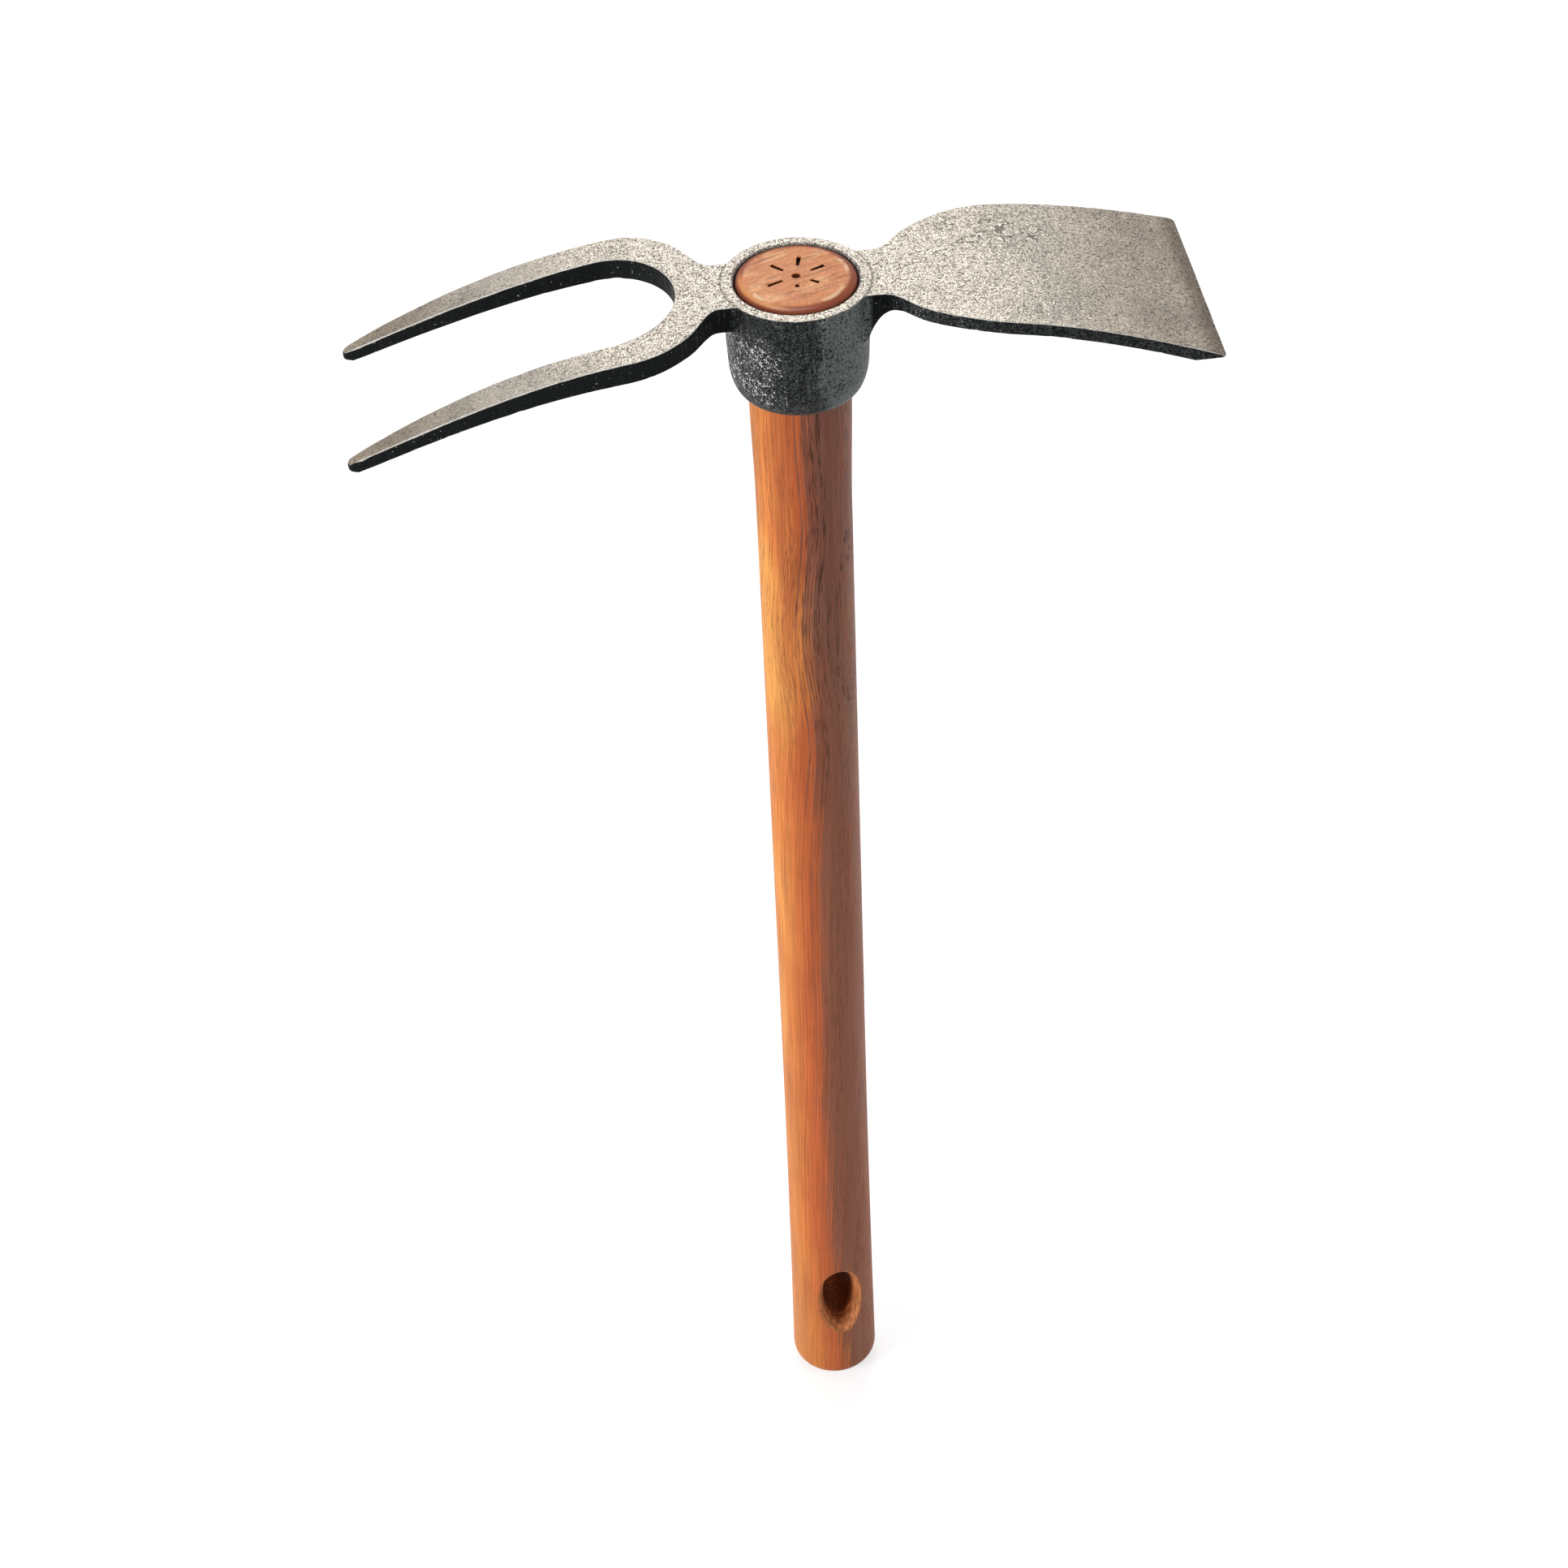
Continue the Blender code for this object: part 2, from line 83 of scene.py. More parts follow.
def setSockets(node, values):
    # a value is a number, a colour, a name or the output of another node
    for name, value in values.items():
        if isinstance(value, bpy.types.NodeSocket):
            node.id_data.links.new(value, node.inputs[name])
        else:
            node.inputs[name].default_value = value
    return node


def addNode(tree, kind, values=None, **settings):
    node = tree.nodes.new(kind)
    for name, value in settings.items():
        setattr(node, name, value)
    return setSockets(node, values or {})


def joined(kind, values, output=0, **settings):
    socket = next(value for value in values.values() if isinstance(value, bpy.types.NodeSocket))
    return addNode(socket.id_data, kind, values, **settings).outputs[output]


def mathNode(operation, first, second=0.0):
    return joined("ShaderNodeMath", {0: first, 1: second}, operation=operation)


def chained(operation):
    return lambda *terms: reduce(lambda first, second: mathNode(operation, first, second), terms)


plus, minus, times, larger = (chained(name) for name in ("ADD", "SUBTRACT", "MULTIPLY", "MAXIMUM"))


def apart(value, middle):
    return mathNode("ABSOLUTE", minus(value, middle))


def swing(value, size):
    # turns noise from 0 to 1 into noise that goes half the size either way
    return times(minus(value, 0.5), size)


def vectorOf(x, y, z=0.0):
    return joined("ShaderNodeCombineXYZ", {0: x, 1: y, 2: z})


def partsOf(vector):
    return addNode(vector.id_data, "ShaderNodeSeparateXYZ", {0: vector}).outputs


def vectorNode(operation, first, second):
    return joined("ShaderNodeVectorMath", {0: first, 1: second}, operation=operation)


def scaled(vector, factor):
    return joined("ShaderNodeVectorMath", {0: vector, "Scale": factor}, operation="SCALE")


def lengthOf(vector):
    return joined("ShaderNodeVectorMath", {0: vector}, "Value", operation="LENGTH")


def ramp(value, low, high, newLow=0.0, newHigh=1.0):
    # eased at both ends and level beyond them
    values = {"Value": value, "From Min": low, "From Max": high, "To Min": newLow, "To Max": newHigh}
    return joined("ShaderNodeMapRange", values, interpolation_type="SMOOTHSTEP")


def between(share, start, end):
    return ramp(share, 0, 1, start, end)


def noiseNode(vector, scale, detail=2.0, roughness=0.5):
    # the scale is one number, or one for each axis
    if isinstance(scale, tuple):
        vector, scale = vectorNode("MULTIPLY", vector, scale), 1.0
    values = {"Vector": vector, "Scale": scale, "Detail": detail, "Roughness": roughness}
    return joined("ShaderNodeTexNoise", values)


def seededNoise(vector, seed, size, detail=2.0):
    values = {"Vector": vector, "W": seed, "Scale": mathNode("DIVIDE", 1, size), "Detail": detail}
    return joined("ShaderNodeTexNoise", values, noise_dimensions="4D")


def driftNode(vector, stretch, detail, size):
    # a short vector that turns this way and that from place to place
    stretched = vectorNode("MULTIPLY", vector, stretch)
    drift = joined("ShaderNodeTexNoise", {"Vector": stretched, "Scale": 1.0, "Detail": detail}, "Color")
    return scaled(vectorNode("SUBTRACT", drift, (0.5, 0.5, 0.5)), size)


def mix(factor, first, second, blend="MIX"):
    values = {0: factor, 6: first, 7: second}
    return joined("ShaderNodeMix", values, 2, data_type="RGBA", blend_type=blend)


def shaded(colour, value, low, high, darkest, lightest, share=1.0):
    # the colour times a grey that follows the value
    level = ramp(value, low, high, darkest, lightest)
    grey = joined("ShaderNodeCombineColor", {0: level, 1: level, 2: level})
    return mix(share, colour, grey, "MULTIPLY")


def newTree(name, kind, inputs, outputs):
    # inputs are (name, kind of socket, default) and outputs are (name, kind of socket)
    tree = bpy.data.node_groups.new(name, kind)
    for socketName, socketKind, default in inputs:
        socket = tree.interface.new_socket(socketName, in_out="INPUT", socket_type="NodeSocket" + socketKind)
        if default is not None:
            socket.default_value = default
    for socketName, socketKind in outputs:
        tree.interface.new_socket(socketName, in_out="OUTPUT", socket_type="NodeSocket" + socketKind)
    return tree, tree.nodes.new("NodeGroupInput").outputs, tree.nodes.new("NodeGroupOutput")


# Small helpers for objects

def newPiece(name, data):
    piece = bpy.data.objects.new(name, data)
    bpy.context.scene.collection.objects.link(piece)
    return piece


def pieceFrom(name, shape):
    mesh = bpy.data.meshes.new(name)
    shape.to_mesh(mesh)
    shape.free()
    return newPiece(name, mesh)


def applyModifiers(piece):
    depsgraph = bpy.context.evaluated_depsgraph_get()
    mesh = bpy.data.meshes.new_from_object(piece.evaluated_get(depsgraph))
    piece.modifiers.clear()
    piece.data = mesh
    mesh.name = piece.name


def runTree(piece, tree, look, finish):
    # an input such as Wave Depth takes the value of waveDepth
    modifier = piece.modifiers.new(tree.name, "NODES")
    modifier.node_group = tree
    values = {**look, "finish": finish}
    for item in tree.interface.items_tree:
        name = item.name[0].lower() + item.name[1:].replace(" ", "")
        if item.in_out == "INPUT" and name in values:
            modifier[item.identifier] = values[name]
    applyModifiers(piece)


def boolean(piece, other, operation):
    modifier = piece.modifiers.new(other.name, "BOOLEAN")
    modifier.operation = operation
    modifier.solver = "EXACT"
    modifier.object = other
    applyModifiers(piece)
    bpy.data.objects.remove(other)


def blend(start, end, share):
    return start + (end - start) * share


def ease(share):
    share = min(max(share, 0), 1)
    return share * share * (3 - 2 * share)


def wobble(place, size):
    # smooth noise from -1 to 1 whose bumps are about that size
    return noise.noise(Vector(place) / size)


def quarterTurn(steps):
    # the angles from level to upright, both included
    return [pi / 2 * i / steps for i in range(steps + 1)]


def mirrored(arc, signs):
    # the same curve points on the other side, in the other order
    def flip(point):
        return Vector((point.x * signs[0], point.y * signs[1]))
    return [(flip(here), flip(after), flip(before)) for here, before, after in reversed(arc)]


def finishShape(geometry, push, given, out):
    # pushes the points along the surface's own direction, then makes one plain mesh of its material
    tree = geometry.id_data
    normal = addNode(tree, "GeometryNodeInputNormal").outputs[0]
    moved = joined("GeometryNodeSetPosition", {"Geometry": geometry, "Offset": scaled(normal, push)})
    real = joined("GeometryNodeRealizeInstances", {0: moved})
    finished = joined("GeometryNodeSetMaterial", {"Geometry": real, "Material": given["Finish"]})
    tree.links.new(finished, out.inputs[0])
    return tree


# Turned shapes: a profile of (radius, height) points is spun round the Z axis

def makeTurningTree():
    tree, given, out = newTree("turnedShape", "GeometryNodeTree", [
        ("Profile", "Geometry", None), ("Segments", "Int", 64), ("Unevenness", "Float", 0.0),
        ("Bump Size", "Float", 0.03), ("Seed", "Float", 0.0), ("Finish", "Material", None),
    ], [("Geometry", "Geometry")])
    spindle = 0.01      # radius of the guide ring, taken off the profile again
    mergeGap = 0.00001  # closes the seam and the poles
    here = addNode(tree, "GeometryNodeInputPosition").outputs[0]
    x, _, z = partsOf(here)
    flat = vectorOf(minus(x, spindle), times(z, -1))
    laid = joined("GeometryNodeSetPosition", {"Geometry": given["Profile"], "Position": flat})
    line = joined("GeometryNodeMeshToCurve", {"Mesh": laid})
    ring = joined("GeometryNodeCurvePrimitiveCircle", {"Resolution": given["Segments"], "Radius": spindle})
    spun = joined("GeometryNodeCurveToMesh", {"Curve": ring, "Profile Curve": line})
    closed = joined("GeometryNodeMergeByDistance", {"Geometry": spun, "Distance": mergeGap})
    bumps = seededNoise(here, given["Seed"], given["Bump Size"])
    push = times(minus(bumps, 1), given["Unevenness"])
    return finishShape(closed, push, given, out)


def spin(name, profile, look, finish):
    mesh = bpy.data.meshes.new(name)
    points = [(radius, 0, height) for radius, height in profile]
    mesh.from_pydata(points, [(i, i + 1) for i in range(len(points) - 1)], [])
    piece = newPiece(name, mesh)
    runTree(piece, turningTree, look, finish)
    return piece


# Handle

handleLook = {
    "gripRadius": 0.016,
    "waistRadius": 0.015,
    "neckRadius": 0.0157,
    "tenonRadius": 0.0185,
    "lowerSwell": 0.19,         # the grip swells below this height
    "upperSwell": 0.045,        # length of the swell under the eye
    "gripRound": 0.006,
    "tenonProud": 0.001,
    "crownGap": 0.0002,         # the rounded end stands this far inside the tenon
    "crownWidth": 0.0039,
    "crownHeight": 0.0026,
    "crownLean": 0.18,          # share of the rounding that falls as a straight chamfer
    "crownBow": 2.8,            # 2 is a round arc, more is fuller
    "segments": 144,
    "arcSteps": 12,             # rows of points round each end's edge
    "shaftRow": 0.003,          # distance between rows of points
    "fineRow": 0.0008,          # the same around the hanging hole
    "unevenness": 0.00012,
    "seed": 4.0,
    "wornAngles": (12, 35),     # degrees: edges sharper than the first look worn, up to the second
    "sharpAngle": 38,
}

holeLook = {
    "height": 0.0447,
    "turn": 5.0,                # degrees about the handle
    "width": 0.0116,
    "length": 0.0272,
    "sinkDepth": 0.006,
    "sinkSlope": 0.7,
    "lip": 0.0005,              # broken edge at the mouth
    "lipSlope": 1.2,
    "segments": 96,
    "rows": 48,
    "darkDepth": 0.008,         # below the surface, where the hole's painted shade is darkest
}

centreMarks = {
    "holeRadius": 0.0014,
    "holeEndRadius": 0.0003,
    "holeDepth": 0.004,
    "outer": 0.01,
    "depth": 0.0015,
    "outerWidth": 0.0014,
    "innerWidth": 0.001,
    "segments": 24,
    "slits": [
        # degrees, where it starts and where it ends
        (25, 0.0051, 0.0098),
        (78, 0.0054, 0.01),
        (135, 0.0047, 0.0095),
        (204, 0.0046, 0.0097),
        (267, 0.0045, 0.006),
        (324, 0.0048, 0.0078),
    ],
}


def handleRadius(height):
    look = handleLook
    if height >= eyeFoot:
        top = handleTop - look["tenonProud"]
        return blend(look["neckRadius"], look["tenonRadius"], (height - eyeFoot) / (top - eyeFoot))
    upper = ease((height - eyeFoot + look["upperSwell"]) / look["upperSwell"])
    lower = max((look["lowerSwell"] - height) / look["lowerSwell"], 0) ** 2
    waist = look["waistRadius"]
    return waist + (look["neckRadius"] - waist) * upper + (look["gripRadius"] - waist) * lower


def handleProfile():
    look = handleLook
    arcSteps = look["arcSteps"]
    foot = handleTop - look["crownHeight"]
    edge = handleRadius(foot) - look["crownGap"]
    disc = edge - look["crownWidth"]
    profile = [(disc * i / arcSteps, handleTop) for i in range(arcSteps)]
    for turn in quarterTurn(arcSteps):
        out = sin(turn)
        bow = 1 - max(1 - out ** look["crownBow"], 0) ** (1 / look["crownBow"])
        fall = blend(bow, out, look["crownLean"])
        profile.append((disc + look["crownWidth"] * out, handleTop - look["crownHeight"] * fall))
    height = foot - look["fineRow"]
    holeTop = holeLook["height"] + holeLook["length"]
    holeBottom = holeLook["height"] - holeLook["length"]
    while height > look["gripRound"]:
        profile.append((handleRadius(height), height))
        nearHole = holeBottom < height < holeTop
        height -= look["fineRow"] if nearHole else look["shaftRow"]
    endRadius = handleRadius(look["gripRound"])
    for turn in quarterTurn(arcSteps):
        radius = endRadius - look["gripRound"] * (1 - cos(turn))
        profile.append((radius, look["gripRound"] * (1 - sin(turn))))
    flat = profile[-1][0]
    profile += [(flat * (1 - i / arcSteps), gripEnd) for i in range(1, arcSteps + 1)]
    return profile


def holeCutter():
    # an oval rod through the grip that opens out to a countersink and a small lip at each side
    look = holeLook
    halfWidth, halfLength = look["width"] / 2, look["length"] / 2
    surface = handleRadius(look["height"])
    sinkStart = surface - look["sinkDepth"]
    reach = surface + 0.002  # past both sides
    shape = bmesh.new()
    rings = []
    for row in range(look["rows"] + 1):
        y = -reach + 2 * reach * row / look["rows"]
        ring = []
        for i in range(look["segments"]):
            turn = 2 * pi * i / look["segments"]
            flare = look["sinkSlope"] * max(abs(y) - sinkStart, 0)
            x = (halfWidth + flare) * cos(turn)
            below = handleRadius(look["height"] + halfLength * sin(turn)) - hypot(x, y)
            flare += look["lipSlope"] * max(look["lip"] - below, 0)
            x = (halfWidth + flare) * cos(turn)
            z = (halfLength + flare) * sin(turn)
            ring.append(shape.verts.new((x, y, z + look["height"])))
        rings.append(ring)
    for near, far in zip(rings, rings[1:]):
        for i in range(len(near)):
            shape.faces.new((near[i - 1], near[i], far[i], far[i - 1]))
    shape.faces.new(rings[0])
    shape.faces.new(rings[-1])
    bmesh.ops.rotate(shape, verts=shape.verts, matrix=Matrix.Rotation(radians(look["turn"]), 3, "Z"))
    bmesh.ops.recalc_face_normals(shape, faces=shape.faces)
    return pieceFrom("holeCutter", shape)


def slitCutter():
    # one wedge for each slit, a little wider at its outer end
    look = centreMarks
    shape = bmesh.new()
    for degrees, inner, outer in look["slits"]:
        slit = bmesh.ops.create_cube(shape, size=1)["verts"]
        for vert in slit:
            x, width = (outer, look["outerWidth"]) if vert.co.x > 0 else (inner, look["innerWidth"])
            vert.co = (x, vert.co.y * width, handleTop + vert.co.z * 2 * look["depth"])
        bmesh.ops.rotate(shape, verts=slit, matrix=Matrix.Rotation(radians(degrees), 3, "Z"))
    return pieceFrom("slitCutter", shape)


def drillCutter(finish):
    look = centreMarks
    bottom = handleTop - look["holeDepth"]
    above = 0.001
    slope = (look["holeRadius"] - look["holeEndRadius"]) / look["holeDepth"]
    profile = [(0, handleTop + above), (look["holeRadius"] + slope * above, handleTop + above)]
    profile += [(look["holeEndRadius"], bottom), (0, bottom)]
    return spin("drillCutter", profile, look, finish)


def edgeMask(mesh, angles, spread):
    # marks the points on outward edges from 0 to 1, and their neighbours half as much
    bluntest, sharpest = (radians(angle) for angle in angles)
    shape = bmesh.new()
    shape.from_mesh(mesh)
    values = np.zeros(len(shape.verts))
    for edge in shape.edges:
        if len(edge.link_faces) == 2:
            share = (edge.calc_face_angle_signed(0) - bluntest) / (sharpest - bluntest)
            for vert in edge.verts:
                values[vert.index] = max(values[vert.index], min(share, 1))
    ends = np.array([[vert.index for vert in edge.verts] for edge in shape.edges])
    shape.free()
    for _ in range(spread):
        nearby = values.copy()
        for here, there in ((0, 1), (1, 0)):
            np.maximum.at(nearby, ends[:, here], values[ends[:, there]] * 0.5)
        values = nearby
    return values


def setMask(mesh, name, values):
    attribute = mesh.attributes.new(name, "FLOAT", "POINT")
    attribute.data.foreach_set("value", np.asarray(values, np.float32))


def softenCreases(mesh, angle, repeats, wanted):
    # rounds the sharp seams that a cut or a join leaves, where wanted(point) says so
    shape = bmesh.new()
    shape.from_mesh(mesh)
    chosen = set()
    for edge in shape.edges:
        if edge.calc_face_angle(0) > radians(angle) and wanted(edge.verts[0].co):
            chosen.update(edge.verts)
    chosen.update([edge.other_vert(vert) for vert in list(chosen) for edge in vert.link_edges])
    axes = {"use_axis_x": True, "use_axis_y": True, "use_axis_z": True}
    for _ in range(repeats):
        bmesh.ops.smooth_vert(shape, verts=list(chosen), factor=0.5, **axes)
    shape.to_mesh(mesh)
    shape.free()


def smoothShade(mesh, angle):
    mesh.shade_smooth()
    mesh.set_sharp_from_angle(angle=radians(angle))


def makeHandle(finish):
    look = handleLook
    handle = spin("turnedHandle", handleProfile(), look, finish)
    for cutter in (holeCutter(), slitCutter(), drillCutter(finish)):
        boolean(handle, cutter, "DIFFERENCE")
    mesh = handle.data
    depths = []
    for vert in mesh.vertices:
        radius = hypot(vert.co.x, vert.co.y)
        nearHole = abs(vert.co.z - holeLook["height"]) < holeLook["length"]
        inside = handleRadius(vert.co.z) - radius - look["unevenness"] if nearHole else 0
        depths.append(min(max(inside / holeLook["darkDepth"], 0), 1))
    setMask(mesh, "cutDepth", depths)
    setMask(mesh, "wornEdge", edgeMask(mesh, look["wornAngles"], 1))
    smoothShade(mesh, look["sharpAngle"])
    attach(handle, "root")
    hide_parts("handle")
    return handle


# Head

eyeLook = {
    "wall": 0.0037,
    "taper": 0.0012,
    "footHeight": 0.011,
    "lip": 0.0009,
    "proud": 0.0002,            # the rim stands this far above the plate
    "rimRound": 0.0005,
    "mouthChamfer": 0.0005,
    "fitGap": 0.0003,
    "rimRow": 0.0006,           # distance between rows of points across the rim
    "rimSteps": 4,
    "wallRows": 38,
    "footSteps": 14,
    "segments": 220,
}

neckLook = {"run": 0.001, "fillet": 0.003, "filletSink": 0.0008}

forkLook = {
    "reach": 0.136,
    "neckWidth": 0.0236,
    "crotch": 0.036,
    "gapWidth": 0.0448,
    "prongWidth": 0.0108,
    "tipWidth": 0.0037,
    "splay": 0.0008,
    "neckThickness": 0.0088,
    "armThickness": 0.0069,
    "tipThickness": 0.0041,
    "tipEdge": 0.0024,
    "tipBevel": 0.003,
    "thinning": 0.015,
    "bendStart": 0.0325,
    "drop": 0.029,
    "endSlope": 0.48,
    "bendPlace": (0.52, 0.6),
    "bendPull": (0.22, 0.24),
    "crestRun": 1.38,
    "taperStart": 0.2,
    "tipSlant": 0.26,
}

bladeLook = {
    "reach": 0.1215,
    "neckWidth": 0.0244,
    "shoulderReach": 0.062,
    "shoulderWidth": 0.0646,
    "edgeWidth": 0.0747,
    "cornerRadius": 0.0015,
    "neckThickness": 0.0047,
    "thickness": 0.0044,
    "edgeThickness": 0.0006,
    "edgeBevel": 0.009,
    "gussetRadius": 0.012,
    "gussetSink": 0.0025,
    "bendStart": 0.044,
    "drop": 0.016,
    "endSlope": 0.34,
    "bendPlace": (0.26, 0.39),
    "bendPull": (0.18, 0.19),
    "rollOff": 0.0002,          # the top rolls down this far at the cutting edge
    "rollLength": 0.004,
}

plateLook = {
    "spacing": 0.0009,          # between points of the surface
    "edgeRound": 0.00038,
    "edgeWobble": 0.35,         # share by which the rounding varies
    "wobbleSize": 0.012,
    "fineWobble": 0.6,          # share of a finer wobble on top
    "fineSize": 0.003,
    "prongRound": 1.3,          # the prongs' edges are this much rounder
    "roundStart": 0.045,        # from here on, measured from the handle's axis
    "roundRun": 0.03,
    "mostRound": 0.4,           # share of the thickness that the rounding may take
    "roundSteps": 3,
    "wallSteps": 7,
    "shortPull": 0.1,
    "middlePull": 0.22,
    "longPull": 0.34,
    "taperPull": 0.45,
    "seamAngle": 25,            # degrees: sharper seams between plate and eye are softened
    "seamRepeats": 6,
    "seamBelow": 0.001,         # but not closer to the top than this
    "seamBand": (0.02, 0.03),   # and only between these distances from the handle's axis
    "wornAngles": (14, 32),     # as for the handle
    "wornDepth": 0.6,           # share of the thickness that hands and soil rub most
    "wornUnder": 0.3,           # how worn the edges below that are beside it
    "sharpAngle": 40,
}

reliefLook = {
    "waveDepth": 0.00022,
    "waveSize": 0.013,
    "dentDepth": 0.00018,
    "dentSize": 0.0032,
    "boreMargin": 0.0005,       # left smooth round the bore
    "seed": 7.0,
}

plateTop = headTop - eyeLook["proud"]
boreTop = handleLook["tenonRadius"] + eyeLook["fitGap"]
boreFoot = handleLook["neckRadius"] + eyeLook["fitGap"]
eyeRadius = boreTop + eyeLook["wall"]
neckClear = eyeRadius + neckLook["run"]
gussetStart = eyeRadius - bladeLook["gussetSink"]
circlePull = 4 / 3 * (sqrt(2) - 1)


def eyeProfile():
    look = eyeLook
    rimRound, wallRows = look["rimRound"], look["wallRows"]
    footTop = eyeFoot + look["footHeight"]
    footRadius = eyeRadius - look["taper"]
    mouthRadius = boreFoot + look["lip"]
    rows = round((eyeRadius - rimRound - boreTop) / look["rimRow"])
    profile = [(0, headTop)]
    profile += [(blend(boreTop, eyeRadius - rimRound, i / rows), headTop) for i in range(rows)]
    for turn in quarterTurn(look["rimSteps"]):
        profile.append((eyeRadius - rimRound * (1 - sin(turn)), headTop - rimRound * (1 - cos(turn))))
    for i in range(1, wallRows):
        share = i / wallRows
        profile.append((blend(eyeRadius, footRadius, share), blend(headTop - rimRound, footTop, share)))
    for turn in quarterTurn(look["footSteps"]):
        radius = blend(mouthRadius, footRadius, cos(turn))
        profile.append((radius, footTop - look["footHeight"] * sin(turn)))
    profile.append((0, eyeFoot))
    return profile


def boreProfile():
    past = 0.002  # the cutter sticks out at both ends
    slope = (boreTop - boreFoot) / (headTop - eyeFoot)
    chamfer = eyeLook["mouthChamfer"]
    return [
        (0, headTop + past),
        (boreTop + chamfer + past, headTop + past),
        (boreTop - slope * chamfer, headTop - chamfer),
        (boreFoot - slope * past, eyeFoot - past),
        (0, eyeFoot - past),
    ]


def knot(x, y, before, after):
    # a point and its two curve handles, given from the point
    here = Vector((x, y))
    return here, here + Vector(before), here + Vector(after)


def neckFillet(side, neck):
    # the rounded corner between a neck and the eye, which ends just inside the eye's wall
    wall = eyeRadius - neckLook["filletSink"]
    fillet = neckLook["fillet"]
    reach = wall + fillet
    centre = Vector((sqrt(reach ** 2 - (neck + fillet) ** 2), neck + fillet))
    turn = acos(centre.y / reach)
    pull = 4 / 3 * tan(turn / 4) * fillet
    end = centre * wall / reach
    arc = [
        knot(centre.x, neck, ((neckClear - centre.x) / 3, 0), (-pull, 0)),
        knot(end.x, end.y, Vector((cos(turn), -sin(turn))) * pull, (-end.x / 3, 0)),
    ]
    if side > 0:
        return arc
    return mirrored(arc, (-1, 1))


def forkOutline():
    look, pulls = forkLook, plateLook
    neck = look["neckWidth"] / 2
    halfGap = look["gapWidth"] / 2
    outer = halfGap + look["prongWidth"]
    rise = outer - neck
    bend = Vector((-neckClear - look["bendPlace"][0] * rise, neck + look["bendPlace"][1] * rise))
    bendPull = Vector((-look["bendPull"][0], look["bendPull"][1])) * rise
    crest = -neckClear - look["crestRun"] * rise
    crotchCentre = look["crotch"] + halfGap
    crotchPull = halfGap * circlePull
    tipHalf = look["tipWidth"] / 2
    tipPull = tipHalf * circlePull
    tipMiddle = halfGap + look["prongWidth"] / 2 + look["splay"]
    tipCentre = look["reach"] - tipHalf
    taperStart = blend(crotchCentre, look["reach"], look["taperStart"])
    taper = tipCentre - taperStart
    short = pulls["shortPull"] * taper
    long = pulls["taperPull"] * taper
    slant = short * look["tipSlant"]
    return neckFillet(-1, neck) + [
        knot(-neckClear, neck, (pulls["shortPull"] * rise, 0), (-pulls["middlePull"] * rise, 0)),
        knot(bend.x, bend.y, -bendPull, bendPull),
        knot(crest, outer, (pulls["longPull"] * rise, 0), (-pulls["middlePull"] * rise, 0)),
        knot(-taperStart, outer, (short, 0), (-long, 0)),
        knot(-tipCentre, tipMiddle + tipHalf, (short, slant), (-tipPull, 0)),
        knot(-look["reach"], tipMiddle, (0, tipPull), (0, -tipPull)),
        knot(-tipCentre, tipMiddle - tipHalf, (-tipPull, 0), (short, -slant)),
        knot(-taperStart, halfGap, (-long, 0), (short, 0)),
        knot(-crotchCentre, halfGap, (-short, 0), (crotchPull, 0)),
        knot(-look["crotch"], 0, (0, crotchPull), (0, -crotchPull)),
    ]


def bladeOutline():
    look, pulls = bladeLook, plateLook
    neck = look["neckWidth"] / 2
    shoulder = look["shoulderWidth"] / 2
    edge = look["edgeWidth"] / 2
    rise = shoulder - neck
    run = look["shoulderReach"] - neckClear
    bend = Vector((neckClear + look["bendPlace"][0] * run, neck + look["bendPlace"][1] * rise))
    bendPull = Vector(look["bendPull"]) * rise
    corner = look["cornerRadius"]
    cornerPull = corner * circlePull
    flare = Vector((1, (edge - shoulder) / (look["reach"] - look["shoulderReach"])))
    sidePull = flare * (look["reach"] - corner - look["shoulderReach"]) / 3
    return [
        knot(look["reach"], edge - corner, (0, -corner), (0, cornerPull)),
        knot(look["reach"] - corner, edge, (cornerPull, 0), -sidePull),
        knot(look["shoulderReach"], shoulder, sidePull, -pulls["longPull"] * run * flare),
        knot(bend.x, bend.y, bendPull, -bendPull),
        knot(neckClear, neck, (pulls["middlePull"] * rise, 0), (-pulls["shortPull"] * rise, 0)),
    ] + neckFillet(1, neck)


def plateOutline():
    # the whole outline, as points about one spacing apart, counterclockwise
    half = bladeOutline() + forkOutline()
    whole = half + mirrored(half[:-1], (1, -1))
    points = []
    for start, end in zip(whole, whole[1:] + whole[:1]):
        a, b, c, d = start[0], start[2], end[1], end[0]
        length = (a - b).length + (b - c).length + (c - d).length
        steps = max(ceil(length / plateLook["spacing"]), 2)
        for i in range(steps):
            t = i / steps
            s = 1 - t
            points.append(a * s ** 3 + b * 3 * s * s * t + c * 3 * s * t * t + d * t ** 3)
    return points


def curvedDrop(run, length, drop, endSlope):
    # how far a bent arm has come down, level at its start and steep at its end
    share = min(max(run / length, 0), 1)
    return (3 * drop - endSlope * length) * share ** 2 + (endSlope * length - 2 * drop) * share ** 3


def plateHeight(x):
    if x < 0:
        look, run = forkLook, -x
    else:
        look, run = bladeLook, x
    length = look["reach"] - look["bendStart"]
    return plateTop - curvedDrop(run - look["bendStart"], length, look["drop"], look["endSlope"])


def gussetThickness(x):
    radius = bladeLook["gussetRadius"]
    run = min(max(x - gussetStart, 0), radius)
    fall = sqrt(radius ** 2 - (radius - run) ** 2)
    return bladeLook["neckThickness"] + radius - fall


